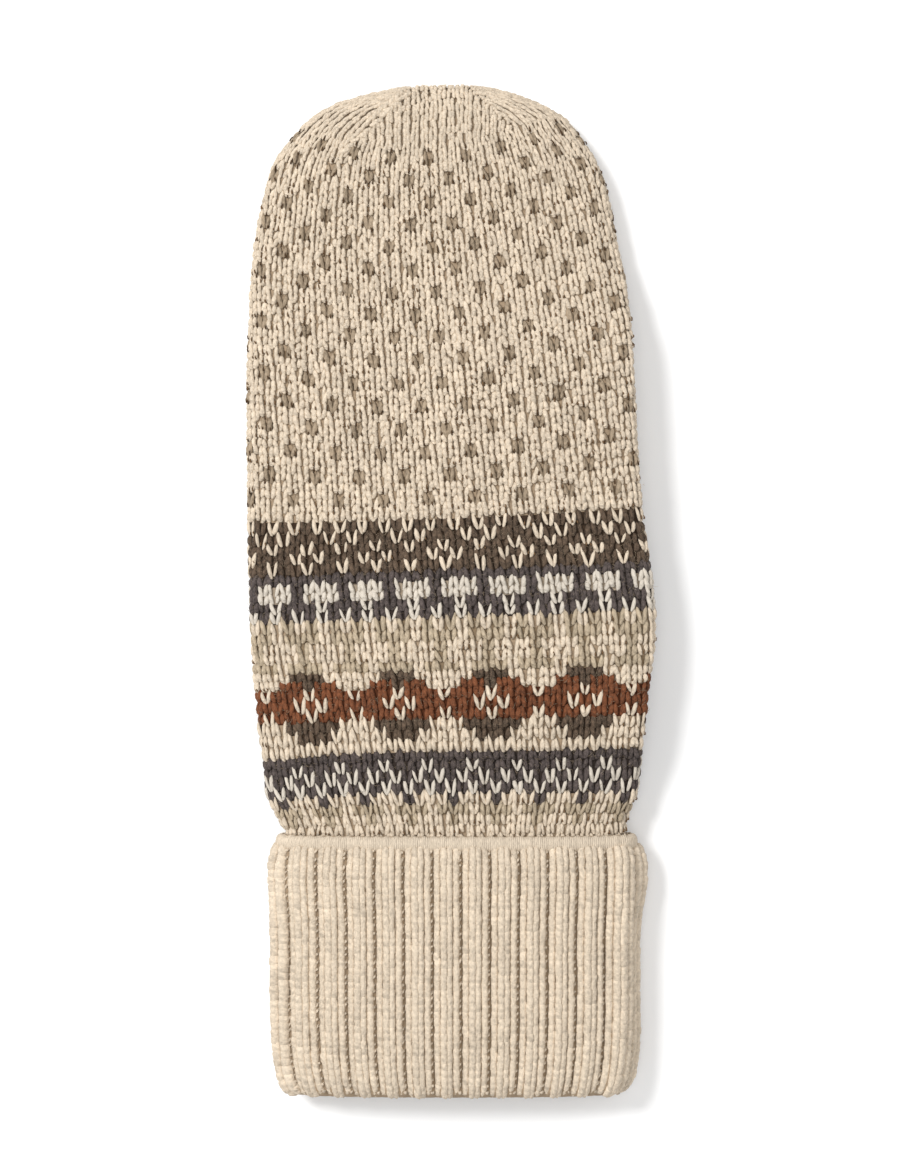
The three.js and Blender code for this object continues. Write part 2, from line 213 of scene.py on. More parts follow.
def pillow_point(half_width, half_height, angle):
    """Point of a pillow-shaped section at an angle, from the right edge over the back."""
    cosine, sine = np.cos(angle), np.sin(angle)
    across = np.sign(cosine) * np.abs(cosine) ** EDGE_POWER
    swell = np.abs(sine) ** np.where(sine >= 0, BACK_POWER, PALM_POWER)
    up = np.where(sine >= 0, swell, -np.minimum(1, swell * PALM_FLATTENING))
    return half_width * across, half_height * up


def thumb_swell(x, y, margin, fade_length):
    """Swell over the thumb: 1 as far as the margin around it, 0 past the fade."""
    thumb_side = THUMB_X - THUMB_WIDTH / 2 - margin
    cuff_side = CROTCH_ABOVE_CUFF - THUMB_OPENING - margin
    tip_side = CROTCH_ABOVE_CUFF + THUMB_LENGTH + margin
    cuff_fade = min(fade_length, cuff_side)
    across = fade(x, thumb_side - fade_length, thumb_side)
    rise = fade(y, cuff_side - cuff_fade, cuff_side)
    fall = 1 - fade(y, tip_side, tip_side + fade_length)
    return across * rise * fall


def hand_point(y, angle, inset):
    """Point of the hand's wall, y above the cuff's free edge, inset from its outside."""
    left, right, thickness, under = body_section(y)
    middle = (left + right) / 2
    half_width = np.maximum((right - left) / 2 - inset, 0.01)
    half_height = np.maximum(thickness / 2 - inset, 0.01)
    across, up = pillow_point(half_width, half_height, angle)
    x = middle + across
    crown = fade(y / HAND_REACH, CROWN_START, 1)
    rise = (1 - thickness / HAND_THICKNESS) * crown * CROWN_RISE * HAND_THICKNESS
    palm = PALM_LIFT * thumb_swell(x, y, LIFT_MARGIN, LIFT_FADE)
    back = BACK_SHARE_OF_LIFT * PALM_LIFT * thumb_swell(x, y, BACK_MARGIN, BACK_FADE)
    backness = np.maximum(np.sin(angle), 0) ** BACK_BLEND
    z = under + thickness / 2 + rise + up + palm + (back - palm) * backness
    drawn_in = inset * crown
    return np.stack([x, y - drawn_in + CUFF_EDGE_Y, z], axis=-1)


class Tube:
    """Closed rings of points at stations, read by station and by share of the way round."""

    SHARES = 720

    def __init__(self, stations, rings):
        self.stations = stations
        steps = np.linalg.norm(np.diff(rings, axis=1), axis=-1)
        lengths = np.concatenate([np.zeros((len(rings), 1)), np.cumsum(steps, axis=1)], axis=1)
        self.girth = lengths[:, -1]
        shares = np.linspace(0, 1, self.SHARES + 1)
        self.grid = np.empty((len(rings), self.SHARES + 1, 3))
        for index, ring in enumerate(rings):
            for axis in range(3):
                self.grid[index, :, axis] = np.interp(
                    shares * self.girth[index], lengths[index], ring[:, axis]
                )

    def station_index(self, station):
        last = len(self.stations) - 1
        return np.clip(np.interp(station, self.stations, np.arange(last + 1)), 0, last - 1e-6)

    def at(self, station, share):
        """Points at stations and shares, which may be past 0 and 1."""
        along = self.station_index(station)
        around = np.asarray(share) % 1 * self.SHARES
        low, left = along.astype(int), np.minimum(around.astype(int), self.SHARES - 1)
        t, s = (along - low)[..., None], (around - left)[..., None]
        near = self.grid[low, left] * (1 - s) + self.grid[low, left + 1] * s
        far = self.grid[low + 1, left] * (1 - s) + self.grid[low + 1, left + 1] * s
        return near * (1 - t) + far * t

    def girth_at(self, station):
        return np.interp(station, self.stations, self.girth)

    def fold_shares(self, station):
        """Shares at which the tube reaches furthest to the right and to the left."""
        index = np.round(self.station_index(station)).astype(int)
        x = self.grid[index, :-1, 0]
        return x.argmax(axis=-1) / self.SHARES, x.argmin(axis=-1) / self.SHARES


def hand_tube(inset):
    """The hand's wall at a depth, read from the middle of the back round to the right."""
    body = np.arange(-SEAM_DEPTH, CROWN_START * HAND_REACH, 0.5)
    sweep = np.linspace(0, math.pi / 2, 90)[:-2]
    crown = HAND_REACH * (CROWN_START + (1 - CROWN_START) * np.sin(sweep))
    stations = np.concatenate([body, crown])
    left, right, _, _ = body_section(stations)
    middle, half = (left + right) / 2, (right - left) / 2
    reach = np.clip(-middle / half, -0.95, 0.95)
    top = np.arccos(np.sign(reach) * np.abs(reach) ** (1 / EDGE_POWER))
    turns = np.linspace(0, 2 * math.pi, 1441)
    angle = top[:, None] - turns[None, :]
    y = np.broadcast_to(stations[:, None], angle.shape)
    return Tube(stations, hand_point(y, angle, inset))


def chart_rows():
    """Each row's repeat of yarns, and its place above the cuff."""
    rows = list(CHART)
    for dot in range(DOT_ROWS):
        rows += [(DOT_REPEATS[dot % 2], PLAIN_ROW), ("o", PLAIN_ROW), ("o", PLAIN_ROW)]
    repeats, heights = zip(*rows)
    return repeats, CHART_START + np.concatenate([[0], np.cumsum(heights)])


# How rows lie over the back, by their height in mm: their slope, their bow and the dip of their
# left ends, and the x that each is measured from.
ROW_SLOPE = ((0, 16, 61, 105, 180), (0, 0.01, 0.043, 0.015, 0))
ROW_BOW = ((75, 105, 169), (0, 0.00194, 0.0062))
ROW_DIP = ((0, 16, 40), (0.0008, 0.0016, 0))
SLOPE_X = -11.5
BOW_X = -8.4
BOW_LEVEL = 9.6
DIP_X = -5
SETTLING_STEPS = 14


def row_bend(row_y, x):
    """How far a row rises from where it crosses the middle of the back."""
    slope, bow, dip = (np.interp(row_y, *table) for table in (ROW_SLOPE, ROW_BOW, ROW_DIP))
    left = np.minimum(x - DIP_X, 0)
    return slope * (x - SLOPE_X) + bow * ((x - BOW_X) ** 2 - BOW_LEVEL) - dip * left**2


def knit_spot(tube, row_y, column):
    """Place on a tube, as y and share, of a row and a column of the knitting. A row bends with
    x, which is found in steps."""
    row_y, column = np.broadcast_arrays(row_y, column)
    y = row_y.astype(float)
    for _ in range(SETTLING_STEPS):
        share = (column - COLUMN_AT_CUFF - COLUMN_LEAN * y) / COLUMNS
        x = tube.at(y, share)[..., 0]
        y = 0.5 * y + 0.5 * (row_y + row_bend(row_y, x))
    return y, share


def unit(vectors):
    return vectors / np.maximum(np.linalg.norm(vectors, axis=-1, keepdims=True), 1e-9)


def path_run(path):
    """Distances along a path, at each of its points."""
    return np.concatenate([[0], np.cumsum(np.linalg.norm(np.diff(path, axis=0), axis=1))])


def on_path(distance, run, path):
    """Points at distances along a path."""
    return np.stack([np.interp(distance, run, axis) for axis in path.T], axis=-1)


def joined(sets):
    """Sets of stitches as one set."""
    return {key: np.concatenate([part[key] for part in sets]) for key in sets[0]}


def picked(knit, chosen):
    """The stitches that are chosen."""
    return {key: value[chosen] for key, value in knit.items()}


def linear(hex_colour):
    """Linear colour of an sRGB hex value."""
    parts = [int(hex_colour[i:i + 2], 16) / 255 for i in (1, 3, 5)]
    low = [part / 12.92 for part in parts]
    high = [((part + 0.055) / 1.055) ** 2.4 for part in parts]
    return [lo if part <= 0.04045 else hi for part, lo, hi in zip(parts, low, high)] + [1.0]


def add_node(tree, kind, settings=None, links=None):
    """Adds a node; its links are from other nodes' sockets to its own inputs."""
    node = tree.nodes.new(kind)
    for name, value in (settings or {}).items():
        if isinstance(name, str) and hasattr(node, name):
            setattr(node, name, value)
        else:
            node.inputs[name].default_value = value
    for name, socket in (links or {}).items():
        tree.links.new(socket, node.inputs[name])
    return node


# Each yarn's record slot, the word for it in names, and how far its fibres are dyed darker and
# lighter than its colour.
YARNS = {
    "o": ("oat_wool", "oat", 0.27),
    "e": ("ecru_wool", "ecru", 0.14),
    "k": ("khaki_wool", "khaki", 0.40),
    "m": ("khaki_wool", "marl", 0.35),
    "b": ("brown_wool", "brown", 0.62),
    "s": ("slate_wool", "slate", 0.60),
    "r": ("rust_wool", "rust", 0.50),
}
DARK_YARNS = "bsr"


def colour_setting(name, description, hex_colour):
    return bpy.props.FloatVectorProperty(
        name=name, description=description, subtype="COLOR", min=0, max=1,
        default=linear(hex_colour)[:3],
    )


class MITTEN_PG_yarns(bpy.types.PropertyGroup):
    """Colours of the yarns"""

    oat: colour_setting("Oat", "Colour of the main yarn, the cuff and the thumb", "#c7b8a4")
    ecru: colour_setting("Ecru", "Colour of the light stitches in the slate bands", "#c4bbae")
    khaki: colour_setting("Khaki", "Colour of the dots on the plain part", "#8f7f6b")
    marl: colour_setting("Marl", "Colour of the faint stitches between the bands", "#a59680")
    brown: colour_setting("Brown", "Colour of the upper band and the lozenges' tips", "#4b3d31")
    slate: colour_setting("Slate", "Colour of the grey bands", "#443c3a")
    rust: colour_setting("Rust", "Colour of the lozenges' middles", "#653a22")
    # Painted shade: the share of the yarn's colour that the wool behind the stitches is given.
    painted_shade_between: bpy.props.FloatProperty(
        name="Shade between stitches", subtype="FACTOR", min=0, max=1, default=0.50,
        description="How light the wool behind the stitches is, as a share of the yarn",
    )


class MITTEN_PG_knitting(bpy.types.PropertyGroup):
    """Sizes of the knitting"""

    fullness: bpy.props.FloatProperty(
        name="Yarn fullness", subtype="FACTOR", min=0.6, max=1.2, default=1.0,
        description="Thickness of the yarn, as a share of what fills a row",
    )
    unevenness: bpy.props.FloatProperty(
        name="Unevenness", description="How far stitches stray from an even place and size",
        subtype="FACTOR", min=0, max=2, default=1.0,
    )
    dot_height: bpy.props.FloatProperty(
        name="Dot height", description="Height of a dot on the plain part",
        unit="LENGTH", min=0.002, max=0.006, default=0.0041,
    )
    fibre_length: bpy.props.FloatProperty(
        name="Fibre length", description="Length of the loose fibres that stand off the wool",
        unit="LENGTH", min=0, max=0.006, default=0.0016,
    )


class MITTEN_PG_studio(bpy.types.PropertyGroup):
    """Floor, light and camera"""

    floor_colour: colour_setting(
        "Floor colour", "Colour of the painted board that the mitten lies on", "#fafafa"
    )
    key_power: bpy.props.FloatProperty(
        name="Key light", description="Power of the soft light from the upper left",
        unit="POWER", min=0, max=100, default=15.4,
    )
    key_size: bpy.props.FloatProperty(
        name="Key light size", description="Width of the soft light from the upper left",
        unit="LENGTH", min=0.1, max=3, default=0.42,
    )
    frame_fill: bpy.props.FloatProperty(
        name="Frame fill", description="Share of the picture's height that the mitten takes",
        subtype="FACTOR", min=0.3, max=1, default=0.88,
    )


# Painted shade: light that has passed from fibre to fibre between the stitches is warmer,
# and little of it reaches the deepest yarn, so these factors darken and warm a yarn's colour.
WARM_SHADE = np.array([1.08, 0.96, 0.83])
DEEP_SHADE = 0.2
# Undyed fibres that are spun into every yarn
PALE_FIBRE = linear("#b8a892")[:3]


def yarn_shades(letter, brightness=1.0):
    """The dark and the light of a yarn, and its few fibres that stand out."""
    _, word, heather = YARNS[letter]
    colour = np.array(getattr(bpy.context.scene.mitten_yarns, word)) * brightness
    pale = (1 + 1.5 * heather) * colour + 0.35 * heather * np.array(PALE_FIBRE)
    shades = (colour * (1 - heather), colour * (1 + heather), pale)
    return [[*np.clip(shade, 0, 1), 1.0] for shade in shades]


def new_material(name):
    """A material with an empty node tree, and the tree."""
    material = bpy.data.materials.new(name)
    material.use_nodes = True
    material.node_tree.nodes.clear()
    return material, material.node_tree


def add_surface(tree, settings, links):
    """Adds the shader and the output that end a material's tree."""
    shader = add_node(tree, "ShaderNodeBsdfPrincipled", settings, links)
    add_node(tree, "ShaderNodeOutputMaterial", {}, {"Surface": shader.outputs["BSDF"]})


def wool_material(name, shades, heather):
    """Spun wool yarn. Its fibres scatter light softly, and its two plies show as slanting
    lines across each stitch. The heather is of fibres dyed darker and lighter."""
    material, tree = new_material(name)
    # Yarn coordinates: once round the yarn and once along a stitch's leg.
    yarn = add_node(tree, "ShaderNodeUVMap", {"uv_map": "yarn"})
    place = add_node(tree, "ShaderNodeTexCoord")
    # Flecks of fibre about 0.5 mm wide and 0.7 mm long, coarser than real ones so that they
    # show. Each stitch's own shade moves them, so that no two are alike.
    long_way = add_node(
        tree, "ShaderNodeMapping", {"Scale": (8.0, 5.0, 1.0)}, {"Vector": yarn.outputs["UV"]}
    )
    shade = add_node(tree, "ShaderNodeAttribute", {"attribute_name": "shade"})
    seeded = add_node(
        tree, "ShaderNodeVectorMath", {"operation": "ADD"},
        {0: long_way.outputs["Vector"], 1: place.outputs["Object"]},
    )
    shift = add_node(
        tree, "ShaderNodeVectorMath", {"operation": "SCALE", "Scale": 40.0},
        {0: shade.outputs["Vector"]},
    )
    moved = add_node(
        tree, "ShaderNodeVectorMath", {"operation": "ADD"},
        {0: seeded.outputs["Vector"], 1: shift.outputs["Vector"]},
    )
    flecks = add_node(
        tree, "ShaderNodeTexNoise", {"Scale": 1.0, "Detail": 2.0, "Roughness": 0.6},
        {"Vector": moved.outputs["Vector"]},
    )
    # Cloudy differences of dye and wear a few stitches wide.
    cloud = add_node(
        tree, "ShaderNodeTexNoise", {"Scale": 90.0, "Detail": 2.0},
        {"Vector": place.outputs["Object"]},
    )
    contrast = 1.0 + 3.2 * heather
    strength = add_node(
        tree, "ShaderNodeMath",
        {"operation": "MULTIPLY_ADD", 1: contrast, 2: 0.5 - 0.5 * contrast},
        {0: flecks.outputs["Fac"]},
    )
    with_stitch = add_node(
        tree, "ShaderNodeMath", {"operation": "ADD"},
        {0: strength.outputs["Value"], 1: shade.outputs["Fac"]},
    )
    with_cloud = add_node(
        tree, "ShaderNodeMath", {"operation": "MULTIPLY_ADD", 1: 0.35, 2: -0.17},
        {0: cloud.outputs["Fac"]},
    )
    mixed = add_node(
        tree, "ShaderNodeMath", {"operation": "ADD", "use_clamp": True},
        {0: with_stitch.outputs["Value"], 1: with_cloud.outputs["Value"]},
    )
    colour = add_node(
        tree, "ShaderNodeMix", {"data_type": "RGBA", "A": shades[0], "B": shades[1]},
        {"Factor": mixed.outputs["Value"]},
    )
    # Single light fibres over the darker ones, as fine as real ones: 0.04 mm wide.
    fine_way = add_node(
        tree, "ShaderNodeMapping", {"Scale": (14.0, 6.0, 1.0)},
        {"Vector": moved.outputs["Vector"]},
    )
    fibres = add_node(
        tree, "ShaderNodeTexNoise", {"Scale": 1.0, "Detail": 1.0},
        {"Vector": fine_way.outputs["Vector"]},
    )
    standing_out = add_node(
        tree, "ShaderNodeMapRange",
        {"From Min": 0.54, "From Max": 0.68, "To Min": 0.0, "To Max": heather},
        {"Value": fibres.outputs["Fac"]},
    )
    heathered = add_node(
        tree, "ShaderNodeMix", {"data_type": "RGBA", "B": shades[2]},
        {"Factor": standing_out.outputs["Result"], "A": colour.outputs["Result"]},
    )
    # Two plies twisted together: a slanting line every 1.2 mm along a leg 3 mm long.
    twist = add_node(
        tree, "ShaderNodeMapping", {"Scale": (1.0, 2.5, 1.0)}, {"Vector": yarn.outputs["UV"]}
    )
    parts = add_node(tree, "ShaderNodeSeparateXYZ", {}, {"Vector": twist.outputs["Vector"]})
    slant = add_node(
        tree, "ShaderNodeMath", {"operation": "ADD"},
        {0: parts.outputs["X"], 1: parts.outputs["Y"]},
    )
    turns = add_node(
        tree, "ShaderNodeMath", {"operation": "MULTIPLY", 1: 2 * math.pi},
        {0: slant.outputs["Value"]},
    )
    plies = add_node(
        tree, "ShaderNodeMath", {"operation": "SINE"}, {0: turns.outputs["Value"]}
    )
    relief = add_node(
        tree, "ShaderNodeMath", {"operation": "MULTIPLY_ADD", 1: 0.22},
        {0: plies.outputs["Value"], 2: flecks.outputs["Fac"]},
    )
    bump = add_node(
        tree, "ShaderNodeBump", {"Strength": 0.8, "Distance": 0.0004},
        {"Height": relief.outputs["Value"]},
    )
    # Fibres stand off the yarn and catch light at grazing angles, which is the sheen.
    add_surface(
        tree,
        {"Roughness": 0.92, "IOR": 1.55, "Specular IOR Level": 0.25,
         "Sheen Weight": 0.25, "Sheen Roughness": 0.6, "Sheen Tint": shades[1]},
        {"Base Color": heathered.outputs["Result"], "Normal": bump.outputs["Normal"]},
    )
    return material


def leg_template(sides):
    """Half of a V stitch: points, faces and maps of a plump strand, pinched at both ends."""
    along = np.array([0.0, 0.08, 0.34, 0.64, 0.88, 1.0])
    fullness = np.array([0.0, 0.66, 1.0, 0.94, 0.60, 0.0])
    points = [(along[0], 0.0, 0.0, 0.0)]
    for t, full in zip(along[1:-1], fullness[1:-1]):
        for side in range(sides):
            turn = 2 * math.pi * side / sides
            points.append((t, full * math.cos(turn), full * math.sin(turn), side / sides))
    points.append((along[-1], 0.0, 0.0, 0.0))
    faces, maps = [], []
    rings = len(along) - 2
    last = len(points) - 1
    for side in range(sides):
        after = (side + 1) % sides
        u, v = side / sides, (side + 1) / sides
        faces.append((0, 1 + after, 1 + side))
        maps.append(((u, along[0]), (v, along[1]), (u, along[1])))
        for ring in range(rings - 1):
            near, far = 1 + ring * sides, 1 + (ring + 1) * sides
            faces.append((near + side, near + after, far + after, far + side))
            low, high = along[ring + 1], along[ring + 2]
            maps.append(((u, low), (v, low), (v, high), (u, high)))
        top = 1 + (rings - 1) * sides
        faces.append((top + side, top + after, last))
        maps.append(((u, along[-2]), (v, along[-2]), (u, along[-1])))
    return np.array(points), faces, maps


def fibre_template():
    """A fibre of three sides, thinning to its tip."""
    turns = [2 * math.pi * side / 3 for side in range(3)]
    points = [(0.0, math.cos(turn), math.sin(turn), 0.0) for turn in turns]
    points += [(0.5, 0.8 * math.cos(turn), 0.8 * math.sin(turn), 0.0) for turn in turns]
    points.append((1.0, 0.0, 0.0, 0.0))
    faces = [(2, 1, 0)]
    for side in range(3):
        after = (side + 1) % 3
        faces.append((side, after, 3 + after, 3 + side))
        faces.append((3 + side, 3 + after, 6))
    maps = [tuple((0.5, points[corner][0]) for corner in face) for face in faces]
    return np.array(points), faces, maps


# Height in mm below which wool is pressed flat by the floor
PRESSED = 0.3


def make_mesh(name, points, faces, material_of_face=None, uvs=None, shade=None):
    """Mesh object from arrays: points in mm, and faces as a flat list with their sizes."""
    flat, sizes = faces
    points = np.array(points, dtype=float)
    # What would reach the floor is pressed flat just above it.
    low = points[:, 2] < PRESSED
    points[low, 2] = PRESSED * np.exp(points[low, 2] / PRESSED - 1)
    mesh = bpy.data.meshes.new(name)
    mesh.vertices.add(len(points))
    mesh.vertices.foreach_set("co", (points * MM).astype(np.float32).ravel())
    mesh.loops.add(len(flat))
    mesh.loops.foreach_set("vertex_index", np.asarray(flat, dtype=np.int32))
    mesh.polygons.add(len(sizes))
    starts = np.concatenate([[0], np.cumsum(sizes)[:-1]])
    mesh.polygons.foreach_set("loop_start", starts.astype(np.int32))
    mesh.polygons.foreach_set("loop_total", np.asarray(sizes, dtype=np.int32))
    mesh.polygons.foreach_set("use_smooth", np.ones(len(sizes), dtype=bool))
    if material_of_face is not None:
        slots = np.asarray(material_of_face, dtype=np.int32)
        mesh.polygons.foreach_set("material_index", slots)
    if uvs is not None:
        layer = mesh.uv_layers.new(name="yarn")
        layer.data.foreach_set("uv", np.asarray(uvs, dtype=np.float32).ravel())
    if shade is not None:
        attribute = mesh.attributes.new("shade", "FLOAT", "POINT")
        attribute.data.foreach_set("value", np.asarray(shade, dtype=np.float32))
    mesh.update()
    mesh.validate()
    thing = bpy.data.objects.new(name, mesh)
    bpy.context.scene.collection.objects.link(thing)
    return thing


# How much stitches differ in shade from one to the next
SHADE_STRAY = 0.11


def strands_mesh(name, template, foot, head, outward, width, height, curve, rng, droop):
    """One mesh of plump strands from each foot to its head, highest in the middle. droop is how
    far the foot and the head sink below the middle."""
    points, faces, maps = template
    count = len(foot)
    t = points[:, 0]
    dip = -np.where(t < 0.5, *droop) * (2 * t - 1) ** 2
    along = head - foot
    aside = unit(np.cross(outward, along))
    lift = unit(np.cross(along, aside))
    bulge = np.sin(math.pi * t)
    spots = (
        foot[:, None]
        + along[:, None] * t[None, :, None]
        + aside[:, None] * (
            width[:, None] * points[None, :, 1] + curve[:, None] * bulge[None, :]
        )[..., None]
        + lift[:, None] * (height[:, None] * points[None, :, 2] + dip[None, :])[..., None]
    )
    size = np.array([len(face) for face in faces])
    flat = np.concatenate([np.array(face) for face in faces])
    offsets = np.arange(count)[:, None] * len(points)
    uv = np.concatenate([np.array(corner) for corner in maps])
    shade = np.repeat(rng.normal(0, SHADE_STRAY, count), len(points))
    return make_mesh(
        name,
        spots.reshape(-1, 3),
        ((flat[None] + offsets).ravel(), np.tile(size, count)),
        uvs=np.tile(uv, (count, 1)),
        shade=shade,
    )


# How a stitch's legs stand: how far its feet and heads are from the column's middle and half
# their thickness, all as shares of the column's width, and how far they stand proud in mm.
PLAIN = (0.225, 0.285, 0.235, 0.0)
CROWN = (0.235, 0.27, 0.265, 0.0)
JACQUARD = (0.15, 0.34, 0.235, 0.05)
LIGHT = (0.085, 0.425, 0.19, 0.22)
UNDER_DARK = (0.11, 0.41, 0.205, 0.18)
DARK = (0.13, 0.35, 0.255, -0.05)
DOT = (0.12, 0.33, 0.235, 0.0)
RIDGE = (0.10, 0.34, 0.24, 0.3)
RIB = (0.235, 0.27, 0.33, 0.0)
# How far a leg's foot and head sink below its middle, in mm
STITCH_DROOP = (0.18, 0.55)
LEG_FLATNESS = 0.95
LEG_CURVE = 0.06
# How far stitches stray: feet and heads across the column, feet along it and heads off the
# wall, in mm, and the legs' length and thickness as shares
FOOT_STRAY = 0.19
HEAD_STRAY = 0.24
RISE_STRAY = 0.27
PROUD_STRAY = 0.13
LENGTH_STRAY = 0.07
FULL_STRAY = 0.11


def v_stitches(name, knit, material, sides, rng, steady=1.0):
    """V stitches of one yarn as one mesh, each of two legs from its foot to its heads. steady
    above 1 makes them more even."""
    count = len(knit["place"])
    hand = bpy.context.scene.mitten_knitting
    foot_share, head_share, full_share, lift = knit["style"].T
    legs = []
    for side in (-1, 1):
        wobble = hand.unevenness / steady * rng.normal(0, 1, (count, 6))
        across = side * knit["width"] * foot_share + FOOT_STRAY * wobble[:, 0]
        rise = RISE_STRAY * wobble[:, 3]
        foot = (knit["place"] + knit["across"] * across[:, None] + knit["up"] * rise[:, None]
                + knit["outward"] * lift[:, None])
        across = side * knit["width"] * head_share + HEAD_STRAY * wobble[:, 1]
        rise = knit["length"] * (1 + LENGTH_STRAY * wobble[:, 2])
        proud = lift + PROUD_STRAY * wobble[:, 4]
        head = (knit["place"] + knit["across"] * across[:, None] + knit["up"] * rise[:, None]
                + knit["outward"] * proud[:, None])
        full = knit["width"] * full_share * (1 + FULL_STRAY * wobble[:, 5]) * hand.fullness
        legs.append({
            "foot": foot, "head": head, "outward": knit["outward"], "width": full,
            "height": full * LEG_FLATNESS, "curve": -side * LEG_CURVE * knit["width"],
        })
    thing = strands_mesh(name, leg_template(sides), rng=rng, droop=STITCH_DROOP, **joined(legs))
    thing.data.materials.append(material)
    return thing


# Loose fibres, drawn as bundles 0.09 mm thick because single ones are too fine to show. They
# start at this share of a leg and stand this far off it.
FIBRE_RADIUS = 0.045
FIBRE_ALONG = 0.8
FIBRE_LIFT = 0.3
FIBRE_DROOP = (0.0, 0.25)


def loose_fibres(name, knit, count, material, rng):
    """Fibres that have worked loose from the stitches, each curving away from one of them."""
    length = bpy.context.scene.mitten_knitting.fibre_length / MM
    spot = picked(knit, rng.integers(0, len(knit["place"]), count))
    along = rng.uniform(0, 1, count)
    aside = rng.normal(0, 0.3, count)
    turn = 1.3 * rng.normal(0, 1, count)
    foot = (spot["place"] + spot["up"] * (along * spot["length"] * FIBRE_ALONG)[:, None]
            + spot["across"] * (aside * spot["width"])[:, None] + spot["outward"] * FIBRE_LIFT)
    way = unit(spot["up"] * np.cos(turn)[:, None] + spot["across"] * np.sin(turn)[:, None]
               + spot["outward"] * rng.uniform(0.05, 0.7, count)[:, None])
    reach = length * rng.uniform(0.5, 1.2, count)
    thick = np.full(count, FIBRE_RADIUS)
    thing = strands_mesh(
        name, fibre_template(), foot, foot + way * reach[:, None], spot["outward"], thick, thick,
        reach * rng.normal(0, 0.18, count), rng, droop=FIBRE_DROOP,
    )
    thing.data.materials.append(material)
    return thing


# Where dashes of yarn in painted shade stand for the shadow in the gaps, round a dot and
# beside a plain stitch: across as a share of the column's width, along and length in mm
FLOAT_AND_SHADE_SPOTS = ((-0.43, 0.2, 1.7), (0.43, 0.2, 1.7), (0.0, 3.3, 1.8))
GAP_SPOTS = ((0.0, 0.6, 1.4), (0.5, 0.6, 1.4))
# The plain stitches that get dashes of painted shade in their gaps, how far below the crown
# they end in mm, and a dash's radius, lift and droop
GAP_STITCHES = 380
GAPS_BELOW_CROWN = 6
GAP_RADIUS = 0.27
GAP_LIFT = 0.62
GAP_DROOP = (0.2, 0.3)
GAP_LEAN = 0.25
GAP_STRAY = 0.12


def yarn_dashes_in_painted_shade(name, knit, spots, material, rng):
    """Dashes of yarn in the gaps beside stitches, coloured with painted shade: they stand for
    the shadow in those gaps, and round a dot also for the float yarn behind the knitting."""
    feet, heads = [], []
    count = len(knit["place"])
    for share, along, length in spots:
        across = share * knit["width"] + rng.normal(0, GAP_STRAY, count)
        start = along + rng.normal(0, 0.3, count)
        foot = (knit["place"] + knit["across"] * across[:, None] + knit["up"] * start[:, None]
                + knit["outward"] * GAP_LIFT)
        lean = rng.normal(0, GAP_STRAY, count) - GAP_LEAN * np.sign(share)
        reach = length * rng.uniform(0.55, 1.15, count)
        feet.append(foot)
        heads.append(foot + knit["up"] * reach[:, None] + knit["across"] * lean[:, None])
    full = np.full(len(spots) * count, GAP_RADIUS)
    thing = strands_mesh(
        name, fibre_template(), np.concatenate(feet), np.concatenate(heads),
        np.tile(knit["outward"], (len(spots), 1)), full, full, 0 * full, rng, droop=GAP_DROOP,
    )
    thing.data.materials.append(material)
    return thing


def grid_faces(rows, columns, keep=None):
    """Quads of a grid that closes on itself round its columns."""
    row, column = np.meshgrid(np.arange(rows - 1), np.arange(columns), indexing="ij")
    after = (column + 1) % columns
    quads = np.stack([
        row * columns + column,
        row * columns + after,
        (row + 1) * columns + after,
        (row + 1) * columns + column,
    ], axis=-1)
    if keep is not None:
        quads = quads[keep]
    return quads.reshape(-1, 4)


def finish_piece(thing, node):
    """A piece of the mitten stands for its CAD node and rides on the body."""
    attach(thing, "root")
    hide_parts(node)


def knit_frames(tube, row_y, column):
    """Places, directions and column widths of stitches at rows and columns."""
    y, share = knit_spot(tube, row_y, column)
    place = tube.at(y, share)
    right = tube.at(*knit_spot(tube, row_y, column + 0.5))
    left = tube.at(*knit_spot(tube, row_y, column - 0.5))
    above = tube.at(*knit_spot(tube, row_y + 1.0, column))
    below = tube.at(*knit_spot(tube, row_y - 1.0, column))
    width = np.linalg.norm(right - left, axis=-1)
    across, up = unit(right - left), unit(above - below)
    return place, across, up, unit(np.cross(across, up)), width, share


def on_palm(tube, y, share):
    right, left = tube.fold_shares(y)
    share = share % 1
    return (share > right) & (share < left)


def row_styles(repeat, plain):
    """How each stitch of a row's repeat stands, by its yarn and its neighbours'."""
    styles = []
    for index, letter in enumerate(repeat):
        beside = repeat[index - 1] + repeat[(index + 1) % len(repeat)]
        if letter in DARK_YARNS:
            styles.append(DARK)
        elif all(other in DARK_YARNS for other in beside):
            styles.append(LIGHT)
        elif letter == "k":
            styles.append(DOT)
        else:
            styles.append(PLAIN if plain else JACQUARD)
    return styles


